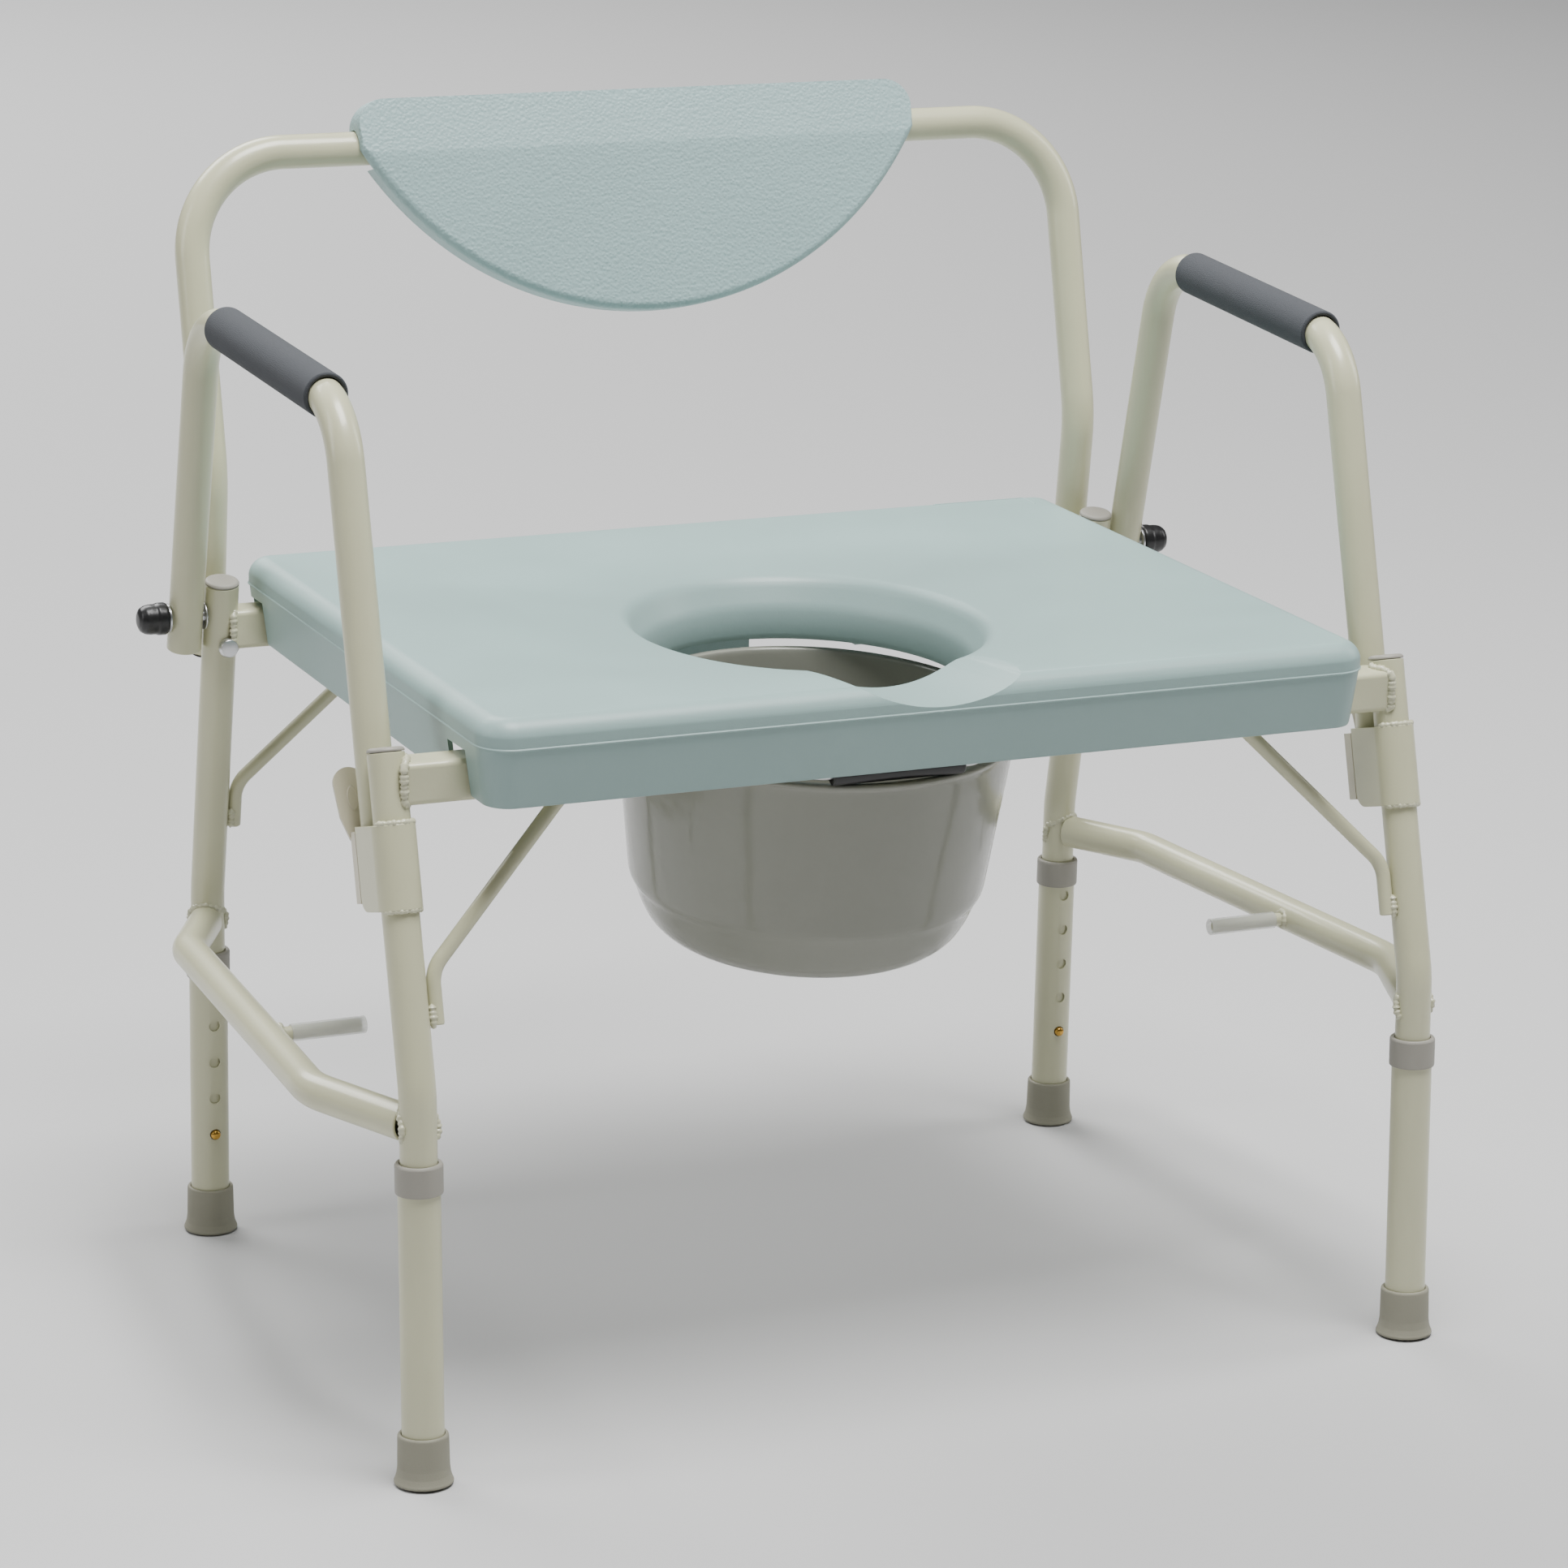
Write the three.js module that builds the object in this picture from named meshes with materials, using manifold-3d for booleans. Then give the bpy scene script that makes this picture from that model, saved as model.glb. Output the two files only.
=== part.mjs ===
// Drop-arm commode chair. Millimetres, +Z up, -Y is the front, x = 0 is the symmetry plane.
// Each piece is drawn once on the +X side; the -X copy is its mirror image.
import * as THREE from "three";
import { mergeVertices } from "three/addons/utils/BufferGeometryUtils.js";
import Module from "manifold-3d";

const wasm = await Module();
wasm.setup();

// ---------------------------------------------------------------- driving sizes
const GAP = 0.3; // air left between two pieces that touch
const WALL = 1.5; // wall of every bent steel tube
const TUBE_R = 11.1; // 7/8 inch tube: posts, arms, stretchers, back
const SIDES = 14; // flats round a tube
const ARC_STEP = 26; // degrees between sections in a bend
const TURNED_SIDES = 14; // flats round a small turned piece

const FRONT_X = 332; // plan position of the front posts
const REAR_X = 314.3; // plan position of the rear posts
const BEND = { y: 230.74, z: 237.4 }; // where each post bends
const LEG_LEAN = 1.5; // degrees, below the bend, feet apart
const FRONT_SLOPE = 0.2655; // y per z above the front post's bend
const REAR_SLOPE = 0.1998; // y per z above the rear post's bend
const POST_BOTTOM = 46;
const FRONT_TOP = 429.5;
const REAR_TOP = 453;

const RAIL = { half: 12.7, corner: 3.5, wall: 1.6 }; // 1 inch square tube
const FRONT_RAIL_Z = 413;
const REAR_RAIL_Z = 423;

const STRETCHER_Z = 218;
const STRETCHER = [
  [REAR_X, 231.2],
  [348, 165],
  [366.6, -142],
  [FRONT_X, -231.2],
]; // plan corners, rear to front
const PEG = { y: -30, r: 4.2, tip: 298, sleeveR: 5.5, sleeveTip: 295, sleeveRoot: 343 };
const BRACE_R = 4.5;

const SLEEVE = { r: 12.7, bore: 11.4, bottom: 7.8, top: 195 };
const HOLES = { first: 70.6, pitch: 25.4, count: 5, r: 3.75 };
const BUTTON = { r: 3.3, out: 15.6 };

const SOCKET = { foot: 341, length: 50, inner: 11.5, outer: 13.5, reach: 29 };
const LATCH = { start: 5, length: 42, front: 29.5, back: 39.5, plate: 1.9 };
const ARM_GAP = 22.8; // front post axis to arm leg axis

const PIVOT = { y: 190.5, z: 432.6, r: 4 };
const ARM_REAR_X = 337.9;
const ARM_REAR_SLOPE = 0.251;
const ARM_FRONT = { bottom: 343, corner: 620 };
const ARM_REAR = { bottom: 411, corner: 636 };
const ARM_BEND = 47;
const GRIP = { r: 14, from: -82, to: 99 };

const BACK = { x: 312.4, bendY: 213.4, bendZ: 519.1, rise: 204.8, lean: 13.15, corner: 66 };
const BACK_FOOT = { y: 228, z: 400 };
const BACK_BOLT = { x: 313.3, z: 412, r: 3.8 };

const PANEL = { half: 197.5, top: 235.5, bottom: 88.8, arc: 228, front: 17, wall: 4.5, edge: -2 };

const SEAT = {
  half: 290.5,
  offset: -2, // it sits a little off centre on its rails
  tilt: 1.3, // degrees, the rear rail is the higher one
  front: -238.5,
  rear: 216.5,
  corner: 22,
  rearCorner: 16,
  top: 455.7,
  parting: 438.7,
  skirt: 402.4,
  draft: 5.5,
  edge: 13,
  wall: 4.5,
};
const HOLE = { y: -34, x: 100, long: 1.135, crease: 424, lip: 406, mouth: 111.5 };
const SCOOP = { half: 47.5, depth: 11.5, fall: 24 };
const DISH = { depth: 10, margin: 14, spokes: 48, steps: 5 }; // the deck falls to the opening

const PAIL = { y: -46, z: 393.5, tilt: 6.6, depth: 147.5, top: 126.6, taper: 0.125, lip: 129.5 };
const BAIL = { wire: 2, grip: 6, reach: 122, side: 129, rise: 3, lift: 1.52 };
const GUIDE = { inner: 126.8, wall: 134, front: -112, rear: 130, plate: 2.5 };

// ---------------------------------------------------------------- materials
const look = (color, metalness, roughness) =>
  new THREE.MeshStandardMaterial({ color, metalness, roughness });
const paint = look(0xc9c8ba, 0.2, 0.4);
const zinc = look(0xd2d4d6, 0.9, 0.35);
const brass = look(0xb08d3c, 0.9, 0.35);
const seatPlastic = look(0xa9bcbd, 0, 0.55);
const pailPlastic = look(0xcfd2ca, 0, 0.25);
const greyPlastic = look(0x98948c, 0, 0.6);
const blackPlastic = look(0x1c1c1c, 0, 0.4);
const rubber = look(0x8a867a, 0, 0.8);
const foam = look(0x66696c, 0, 0.95);
const vinyl = look(0xd8d8d0, 0, 0.2);

// ---------------------------------------------------------------- solids
// Turns a three.js geometry into a closed solid that faces out.
function solid(geometry) {
  const flat = geometry.index ? geometry.toNonIndexed() : geometry;
  const bare = new THREE.BufferGeometry();
  bare.setAttribute("position", flat.getAttribute("position"));
  const welded = mergeVertices(bare, 1e-4);
  const index = welded.index.array;
  const kept = [];
  for (let i = 0; i < index.length; i += 3) {
    const [a, b, c] = [index[i], index[i + 1], index[i + 2]];
    if (a !== b && b !== c && c !== a) kept.push(a, b, c);
  }
  const build = (triangles) =>
    new wasm.Manifold(
      new wasm.Mesh({
        numProp: 3,
        vertProperties: welded.attributes.position.array,
        triVerts: new Uint32Array(triangles),
      }),
    );
  const made = build(kept);
  return made.volume() < 0 ? build(kept.reverse()) : made;
}

const join = (...solids) => wasm.Manifold.union(solids);
const largest = (piece) => piece.decompose().sort((a, b) => b.volume() - a.volume())[0];
const mirrored = (piece) => piece.mirror([1, 0, 0]);
const vec = (x, y, z) => new THREE.Vector3(x, y, z);
const deg = (angle) => THREE.MathUtils.degToRad(angle);

function box(x0, x1, y0, y1, z0, z1) {
  const shape = new THREE.BoxGeometry(x1 - x0, y1 - y0, z1 - z0);
  shape.translate((x0 + x1) / 2, (y0 + y1) / 2, (z0 + z1) / 2);
  return solid(shape);
}

// A regular polygon that lies inside the circle r, or outside it for a bore.
function roundShape(r, isBore = false, sides = SIDES) {
  const reach = isBore ? r / Math.cos(Math.PI / sides) : r;
  const points = [];
  for (let i = 0; i < sides; i += 1) {
    const angle = (2 * Math.PI * i) / sides;
    points.push(new THREE.Vector2(reach * Math.cos(angle), reach * Math.sin(angle)));
  }
  return new THREE.Shape(points);
}

// A path of straight runs joined by arcs, stepped only where the direction changes.
class BentPath extends THREE.Curve {
  constructor(corners, radii, extend = 0, step = ARC_STEP) {
    super();
    this.stations = [];
    const last = corners.length - 1;
    const direction = (a, b) => b.clone().sub(a).normalize();
    const first = direction(corners[0], corners[1]);
    this.add(corners[0].clone().addScaledVector(first, -extend), first);
    for (let i = 1; i < last; i += 1) {
      const before = direction(corners[i - 1], corners[i]);
      const after = direction(corners[i], corners[i + 1]);
      const turn = before.angleTo(after);
      const radius = radii[i - 1];
      const start = corners[i].clone().addScaledVector(before, -radius * Math.tan(turn / 2));
      const inward = after.clone().addScaledVector(before, -before.dot(after)).normalize();
      const centre = start.clone().addScaledVector(inward, radius);
      const steps = Math.max(2, Math.round(THREE.MathUtils.radToDeg(turn) / step));
      for (let k = 0; k <= steps; k += 1) {
        const angle = (turn * k) / steps;
        const point = centre
          .clone()
          .addScaledVector(inward, -radius * Math.cos(angle))
          .addScaledVector(before, radius * Math.sin(angle));
        const tangent = before
          .clone()
          .multiplyScalar(Math.cos(angle))
          .addScaledVector(inward, Math.sin(angle));
        this.add(point, tangent);
      }
    }
    const final = direction(corners[last - 1], corners[last]);
    this.add(corners[last].clone().addScaledVector(final, extend), final);
  }

  add(point, tangent) {
    this.stations.push({ point, tangent });
  }

  get steps() {
    return this.stations.length - 1;
  }

  at(u) {
    return this.stations[Math.round(u * this.steps)];
  }

  getPoint(u, target = new THREE.Vector3()) {
    return target.copy(this.at(u).point);
  }

  getPointAt(u, target = new THREE.Vector3()) {
    return target.copy(this.at(u).point);
  }

  getTangentAt(u, target = new THREE.Vector3()) {
    return target.copy(this.at(u).tangent);
  }

  getSpacedPoints() {
    return this.stations.map((station) => station.point.clone());
  }
}

function sweep(shape, corners, radii = [], extend = 0, step = ARC_STEP) {
  const path = new BentPath(corners, radii, extend, step);
  return solid(
    new THREE.ExtrudeGeometry(shape, {
      steps: path.steps,
      extrudePath: path,
      bevelEnabled: false,
    }),
  );
}

const rod = (corners, r, radii = [], sides = 10) =>
  sweep(roundShape(r, false, sides), corners, radii);

const drill = (from, to, r, sides = 12) => sweep(roundShape(r, true, sides), [from, to]);

function tube(corners, radii = [], r = TUBE_R, wall = WALL) {
  const outside = sweep(roundShape(r), corners, radii);
  const inside = sweep(roundShape(r - wall, true), corners, radii, 1);
  return outside.subtract(inside);
}

// A turned piece about local Z: pairs of radius and height.
function turned(profile, sides = TURNED_SIDES) {
  const points = profile.map(([r, z]) => new THREE.Vector2(r, z));
  const shape = new THREE.LatheGeometry(points, sides);
  shape.rotateX(Math.PI / 2);
  return solid(shape);
}

// A solid through a stack of rings that have the same number of points.
function loft(rings) {
  const count = rings[0].length;
  const points = rings.flat();
  const triangles = [];
  const centre = (ring) =>
    ring.reduce((sum, p) => sum.add(p), vec(0, 0, 0)).divideScalar(ring.length);
  for (let k = 0; k + 1 < rings.length; k += 1) {
    for (let i = 0; i < count; i += 1) {
      const a = k * count + i;
      const b = k * count + ((i + 1) % count);
      triangles.push(a, b, b + count, a, b + count, a + count);
    }
  }
  const low = points.length;
  points.push(centre(rings[0]), centre(rings.at(-1)));
  const lastRing = (rings.length - 1) * count;
  for (let i = 0; i < count; i += 1) {
    const next = (i + 1) % count;
    triangles.push(low, next, i, low + 1, lastRing + i, lastRing + next);
  }
  const shape = new THREE.BufferGeometry().setFromPoints(points);
  shape.setIndex(triangles);
  return solid(shape);
}

// A flat shape drawn in x and y, thickened along z.
function slab(shape, depth, curveSegments = 8) {
  return solid(new THREE.ExtrudeGeometry(shape, { depth, bevelEnabled: false, curveSegments }));
}

// Moves a piece from a local frame with the given axes and origin.
function placed(piece, xAxis, yAxis, zAxis, origin) {
  const matrix = new THREE.Matrix4().makeBasis(xAxis, yAxis, zAxis).setPosition(origin);
  return piece.transform(matrix.elements);
}

// ---------------------------------------------------------------- the object
const chair = new THREE.Group();
chair.name = "commode_chair";

function addNode(name, piece, material) {
  const mesh = piece.asOriginal().simplify(0.02).getMesh();
  const shape = new THREE.BufferGeometry();
  shape.setAttribute("position", new THREE.BufferAttribute(mesh.vertProperties, 3));
  shape.setIndex(new THREE.BufferAttribute(mesh.triVerts, 1));
  const flat = shape.toNonIndexed();
  flat.computeVertexNormals();
  const node = new THREE.Mesh(flat, material);
  node.name = name;
  chair.add(node);
}

function addPair(name, piece, material) {
  addNode(`${name}_right`, piece, material);
  addNode(`${name}_left`, mirrored(piece), material);
}

// ---------------------------------------------------------------- posts
const legSpread = Math.tan(deg(LEG_LEAN));
const frontY = (z) => -BEND.y + FRONT_SLOPE * (z - BEND.z);
const rearY = (z) => BEND.y - REAR_SLOPE * (z - BEND.z);
const lowY = (z) => BEND.y + legSpread * (BEND.z - z);

const frontPath = [
  vec(FRONT_X, -lowY(POST_BOTTOM), POST_BOTTOM),
  vec(FRONT_X, -BEND.y, BEND.z),
  vec(FRONT_X, frontY(FRONT_TOP), FRONT_TOP),
];
const rearPath = [
  vec(REAR_X, lowY(POST_BOTTOM), POST_BOTTOM),
  vec(REAR_X, BEND.y, BEND.z),
  vec(REAR_X, rearY(REAR_TOP), REAR_TOP),
];
const POST_BEND = [70];

// A post's envelope, a little larger, for trimming what is welded to it.
const clearOf = (path) => sweep(roundShape(TUBE_R + GAP, true), path, POST_BEND);
const frontClear = clearOf(frontPath);
const rearClear = clearOf(rearPath);

// Frames along each leg: z runs up the leg, y points to the front or back.
function legFrame(x, side) {
  const up = vec(0, -side * Math.sin(deg(LEG_LEAN)), Math.cos(deg(LEG_LEAN)));
  const across = vec(0, up.z, -up.y);
  return (piece) => placed(piece, vec(1, 0, 0), across, up, vec(x, side * lowY(0), 0));
}
const onFrontLeg = legFrame(FRONT_X, -1);
const onRearLeg = legFrame(REAR_X, 1);

const buttonHole = (side, r) =>
  drill(vec(0, -side * 7, HOLES.first), vec(0, -side * 20, HOLES.first), r);

const frontPost = tube(frontPath, POST_BEND).subtract(onFrontLeg(buttonHole(-1, HOLES.r)));
const pivotDrill = (x0, x1) =>
  drill(vec(x0, PIVOT.y, PIVOT.z), vec(x1, PIVOT.y, PIVOT.z), PIVOT.r + GAP);
const backDrill = drill(
  vec(BACK_BOLT.x, 170, BACK_BOLT.z),
  vec(BACK_BOLT.x, 250, BACK_BOLT.z),
  BACK_BOLT.r + GAP,
);
const rearPost = tube(rearPath, POST_BEND)
  .subtract(onRearLeg(buttonHole(1, HOLES.r)))
  .subtract(pivotDrill(REAR_X, REAR_X + 20))
  .subtract(backDrill);
addPair("front_post", frontPost, paint);
addPair("rear_post", rearPost, paint);

// Domed caps pressed into the tops of the posts.
const capShape = turned([
  [0, -11],
  [8.9, -11],
  [9.2, -9],
  [9.2, 0.3],
  [11.1, 0.3],
  [11.1, 1.4],
  [10.2, 2.4],
  [7, 3],
  [0, 3.2],
]);
function capOn(x, y, z, slope) {
  const up = vec(0, slope, 1).normalize();
  return placed(capShape, vec(1, 0, 0), vec(0, up.z, -up.y), up, vec(x, y, z));
}
addPair("front_post_cap", capOn(FRONT_X, frontY(FRONT_TOP), FRONT_TOP, FRONT_SLOPE), greyPlastic);
addPair("rear_post_cap", capOn(REAR_X, rearY(REAR_TOP), REAR_TOP, -REAR_SLOPE), greyPlastic);

// ---------------------------------------------------------------- telescoping legs
const sleeveShape = sweep(roundShape(SLEEVE.r, false, 18), [
  vec(0, 0, SLEEVE.bottom),
  vec(0, 0, SLEEVE.top),
]).subtract(
  sweep(roundShape(SLEEVE.bore, true, 18), [
    vec(0, 0, SLEEVE.bottom - 1),
    vec(0, 0, SLEEVE.top + 1),
  ]),
);
function sleeve(side) {
  let piece = sleeveShape;
  for (let k = 0; k < HOLES.count; k += 1) {
    const z = HOLES.first + k * HOLES.pitch;
    piece = piece.subtract(drill(vec(0, -side * 7, z), vec(0, -side * 20, z), HOLES.r, 10));
  }
  return piece;
}
addPair("front_leg_tube", onFrontLeg(sleeve(-1)), paint);
addPair("rear_leg_tube", onRearLeg(sleeve(1)), paint);

const collar = turned(
  [
    [13, 178.5],
    [14, 178.5],
    [14.3, 179.2],
    [14.3, 195.6],
    [13.6, 196.8],
    [11.5, 196.8],
    [11.5, 195.3],
    [13, 195.3],
    [13, 178.5],
  ],
  18,
);
addPair("front_leg_collar", onFrontLeg(collar), greyPlastic);
addPair("rear_leg_collar", onRearLeg(collar), greyPlastic);

const foot = turned(
  [
    [0, -1],
    [17.8, -1],
    [17.8, 1.2],
    [17, 3.4],
    [15.9, 7],
    [15.4, 11],
    [15.2, 30],
    [14.6, 31],
    [13, 31],
    [13, 7.5],
    [0, 7.5],
  ],
  18,
);
const belowFloor = box(-500, 500, -500, 500, -10, 0);
addPair("front_foot", onFrontLeg(foot).subtract(belowFloor), rubber);
addPair("rear_foot", onRearLeg(foot).subtract(belowFloor), rubber);

// A brass button on a folded leaf spring inside the post.
function snapButton(side) {
  const out = turned(
    [
      [0, 8.2],
      [BUTTON.r, 8.2],
      [BUTTON.r, BUTTON.out - 1.9],
      [BUTTON.r * 0.84, BUTTON.out - 0.8],
      [BUTTON.r * 0.45, BUTTON.out - 0.15],
      [0, BUTTON.out],
    ],
    12,
  );
  const stem = placed(
    out,
    vec(1, 0, 0),
    vec(0, 0, side),
    vec(0, -side, 0),
    vec(0, 0, HOLES.first),
  );
  const leaf = new THREE.Shape();
  leaf.moveTo(8.7, -7);
  leaf.lineTo(8.7, 24);
  leaf.lineTo(6, 28.5);
  leaf.lineTo(1.8, 28.5);
  leaf.lineTo(-1, 24);
  leaf.lineTo(-3.4, -4);
  leaf.lineTo(-2.7, -4);
  leaf.lineTo(-0.2, 23.7);
  leaf.lineTo(2.1, 27.8);
  leaf.lineTo(5.7, 27.8);
  leaf.lineTo(8, 23.7);
  leaf.lineTo(8, -7);
  const strip = placed(
    slab(leaf, 6).translate([0, 0, -3]),
    vec(0, -side, 0),
    vec(0, 0, 1),
    vec(-side, 0, 0),
    vec(0, 0, HOLES.first),
  );
  return join(stem, strip);
}
addPair("front_snap_button", onFrontLeg(snapButton(-1)), brass);
addPair("rear_snap_button", onRearLeg(snapButton(1)), brass);

// ---------------------------------------------------------------- seat rails
function squareShape(half, corner, inset = 0) {
  const shape = new THREE.Shape();
  const h = half - inset;
  const r = Math.max(corner - inset, 0.8);
  shape.absarc(h - r, h - r, r, 0, Math.PI / 2);
  shape.absarc(r - h, h - r, r, Math.PI / 2, Math.PI);
  shape.absarc(r - h, r - h, r, Math.PI, 1.5 * Math.PI);
  shape.absarc(h - r, r - h, r, 1.5 * Math.PI, 2 * Math.PI);
  return shape;
}
function rail(x, y, z, clear) {
  const outer = slab(squareShape(RAIL.half, RAIL.corner), 2 * x, 2);
  const inner = slab(squareShape(RAIL.half, RAIL.corner, RAIL.wall), 2 * x + 2, 2);
  const bar = outer.subtract(inner.translate([0, 0, -1])).translate([0, 0, -x]);
  return placed(bar, vec(0, 1, 0), vec(0, 0, 1), vec(1, 0, 0), vec(0, y, z))
    .subtract(clear)
    .subtract(mirrored(clear));
}
addNode("front_rail", rail(FRONT_X - 13, frontY(FRONT_RAIL_Z), FRONT_RAIL_Z, frontClear), paint);
addNode("rear_rail", rail(REAR_X - 9, rearY(REAR_RAIL_Z), REAR_RAIL_Z, rearClear), paint);

// ---------------------------------------------------------------- stretchers and pegs
const stretcher = tube(
  STRETCHER.map(([x, y]) => vec(x, y, STRETCHER_Z)),
  [34, 60],
)
  .subtract(frontClear)
  .subtract(rearClear);
addPair("side_stretcher", largest(stretcher), paint);

const runX = THREE.MathUtils.mapLinear(
  PEG.y,
  STRETCHER[1][1],
  STRETCHER[2][1],
  STRETCHER[1][0],
  STRETCHER[2][0],
);
const stretcherClear = sweep(roundShape(TUBE_R + GAP, true), [
  vec(STRETCHER[1][0], STRETCHER[1][1], STRETCHER_Z),
  vec(STRETCHER[2][0], STRETCHER[2][1], STRETCHER_Z),
]);
const pegLine = (x) => vec(x, PEG.y, STRETCHER_Z);
const peg = rod([pegLine(PEG.tip), pegLine(runX)], PEG.r, [], 14).subtract(stretcherClear);
addPair("arm_peg", peg, paint);
const sleeveBore = drill(pegLine(PEG.sleeveTip - 1), pegLine(PEG.sleeveRoot + 1), PEG.r + GAP);
const sleeveRod = rod([pegLine(PEG.sleeveTip), pegLine(PEG.sleeveRoot)], PEG.sleeveR, [], 16);
addPair("peg_sleeve", sleeveRod.subtract(sleeveBore), vinyl);

// ---------------------------------------------------------------- braces
function brace(x, bendZ, lowZ, endX, endZ, lineY) {
  const inside = x - TUBE_R - GAP - BRACE_R;
  const corners = [
    vec(inside, lineY(lowZ), lowZ),
    vec(inside, lineY(bendZ), bendZ),
    vec(endX, lineY(endZ), endZ),
  ];
  return rod(corners, BRACE_R, [22]);
}
const underRail = (z) => box(0, 400, -300, 300, z - RAIL.half - GAP, 500);
const frontBrace = brace(FRONT_X, 306, 275, 216, 407, frontY)
  .subtract(underRail(FRONT_RAIL_Z))
  .subtract(frontClear);
const rearBrace = brace(REAR_X, 312, 283, 186, 417, rearY)
  .subtract(underRail(REAR_RAIL_Z))
  .subtract(rearClear);
addPair("front_brace", frontBrace, paint);
addPair("rear_brace", rearBrace, paint);

// ---------------------------------------------------------------- arm sockets and latches
// Local frame of the front post above its bend: x outboard, y rearward, z up the post.
const postUp = vec(0, FRONT_SLOPE, 1).normalize();
const postBack = vec(0, postUp.z, -postUp.y);
const socketOrigin = vec(FRONT_X, frontY(SOCKET.foot), SOCKET.foot);
const onFrontPost = (piece) => placed(piece, vec(1, 0, 0), postBack, postUp, socketOrigin);

function wrapShape(outer, inner, reach) {
  const shape = new THREE.Shape();
  shape.moveTo(outer, reach);
  shape.lineTo(outer, 0);
  shape.absarc(0, 0, outer, 0, Math.PI, true);
  shape.lineTo(-outer, reach);
  shape.lineTo(-inner, reach);
  shape.lineTo(-inner, 0);
  shape.absarc(0, 0, inner, Math.PI, 0, false);
  shape.lineTo(inner, reach);
  return shape;
}
function sideProfile(reach, height, corner) {
  const shape = new THREE.Shape();
  shape.moveTo(-20, 0);
  shape.lineTo(reach - corner, 0);
  shape.absarc(reach - corner, corner, corner, -Math.PI / 2, 0, false);
  shape.lineTo(reach, height);
  shape.lineTo(-20, height);
  const cheek = slab(shape, 40, 4).translate([0, 0, -20]);
  return placed(cheek, vec(0, 1, 0), vec(0, 0, 1), vec(1, 0, 0), vec(0, 0, 0));
}
const wrap = slab(wrapShape(SOCKET.outer, SOCKET.inner, SOCKET.reach), SOCKET.length, 10);
const socket = wrap.intersect(sideProfile(SOCKET.reach, SOCKET.length, 9));
addPair("arm_socket", onFrontPost(socket), paint);

// The latch is a channel behind the arm's front leg with a thumb tab bent outboard.
const channelShape = new THREE.Shape([
  new THREE.Vector2(SOCKET.outer, LATCH.front),
  new THREE.Vector2(SOCKET.outer, LATCH.back - 2),
  new THREE.Vector2(SOCKET.outer - 2, LATCH.back),
  new THREE.Vector2(2 - SOCKET.outer, LATCH.back),
  new THREE.Vector2(-SOCKET.outer, LATCH.back - 2),
  new THREE.Vector2(-SOCKET.outer, LATCH.front),
  new THREE.Vector2(-SOCKET.inner, LATCH.front),
  new THREE.Vector2(-SOCKET.inner, LATCH.back - LATCH.plate),
  new THREE.Vector2(SOCKET.inner, LATCH.back - LATCH.plate),
  new THREE.Vector2(SOCKET.inner, LATCH.front),
]);
const channel = slab(channelShape, LATCH.length).translate([0, 0, LATCH.start]);
const tabShape = new THREE.Shape();
tabShape.moveTo(-3, 0);
tabShape.lineTo(13.4, 0);
tabShape.lineTo(17.5, 14);
tabShape.lineTo(18.5, 34);
tabShape.absarc(8.5, 34, 10, 0, Math.PI, false);
tabShape.lineTo(-3, 20);
const tabLean = deg(14);
const tab = placed(
  slab(tabShape, 2, 6),
  vec(1, 0, 0),
  vec(0, Math.sin(tabLean), Math.cos(tabLean)),
  vec(0, -Math.cos(tabLean), Math.sin(tabLean)),
  vec(0, LATCH.back, LATCH.start + LATCH.length - 5),
);
addPair("latch_lever", onFrontPost(join(channel, tab)), paint);

// ---------------------------------------------------------------- drop arms
const armFrontY = (z) => {
  const offset = ARM_GAP / postUp.z;
  return frontY(z) + offset;
};
const armRearY = (z) => PIVOT.y - ARM_REAR_SLOPE * (z - PIVOT.z);
const armPath = [
  vec(FRONT_X, armFrontY(ARM_FRONT.bottom), ARM_FRONT.bottom),
  vec(FRONT_X, armFrontY(ARM_FRONT.corner), ARM_FRONT.corner),
  vec(ARM_REAR_X, armRearY(ARM_REAR.corner), ARM_REAR.corner),
  vec(ARM_REAR_X, armRearY(ARM_REAR.bottom), ARM_REAR.bottom),
];
const armTube = tube(armPath, [ARM_BEND, ARM_BEND]).subtract(
  pivotDrill(ARM_REAR_X - 20, ARM_REAR_X + 20),
);
addPair("arm_tube", armTube, paint);

const onTopBar = (y) => {
  const along = (y - armPath[1].y) / (armPath[2].y - armPath[1].y);
  return armPath[1].clone().lerp(armPath[2], along);
};
const gripEnds = [onTopBar(GRIP.from), onTopBar(GRIP.to)];
const armClear = sweep(roundShape(TUBE_R + GAP, true), armPath, [ARM_BEND, ARM_BEND]);
const grip = sweep(roundShape(GRIP.r, false, 16), gripEnds).subtract(armClear);
addPair("arm_grip", grip, foam);

// ---------------------------------------------------------------- arm pivots
const alongX = (piece, y, z) =>
  placed(piece, vec(0, 1, 0), vec(0, 0, 1), vec(1, 0, 0), vec(0, y, z));
const postFace = REAR_X + TUBE_R;
const armInner = ARM_REAR_X - TUBE_R;
const armOuter = ARM_REAR_X + TUBE_R;
const pivotBolt = turned([
  [0, REAR_X - 6],
  [PIVOT.r, REAR_X - 6],
  [PIVOT.r, postFace + GAP],
  [9, postFace + GAP],
  [9, armInner - GAP],
  [PIVOT.r, armInner - GAP],
  [PIVOT.r, armOuter + GAP],
  [9.5, armOuter + GAP],
  [9.5, armOuter + GAP + 1.4],
  [PIVOT.r, armOuter + GAP + 1.4],
  [PIVOT.r, armOuter + 12],
  [0, armOuter + 12],
]);
addPair("pivot_bolt", alongX(pivotBolt, PIVOT.y, PIVOT.z), zinc);
const nutStart = armOuter + 2;
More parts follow.
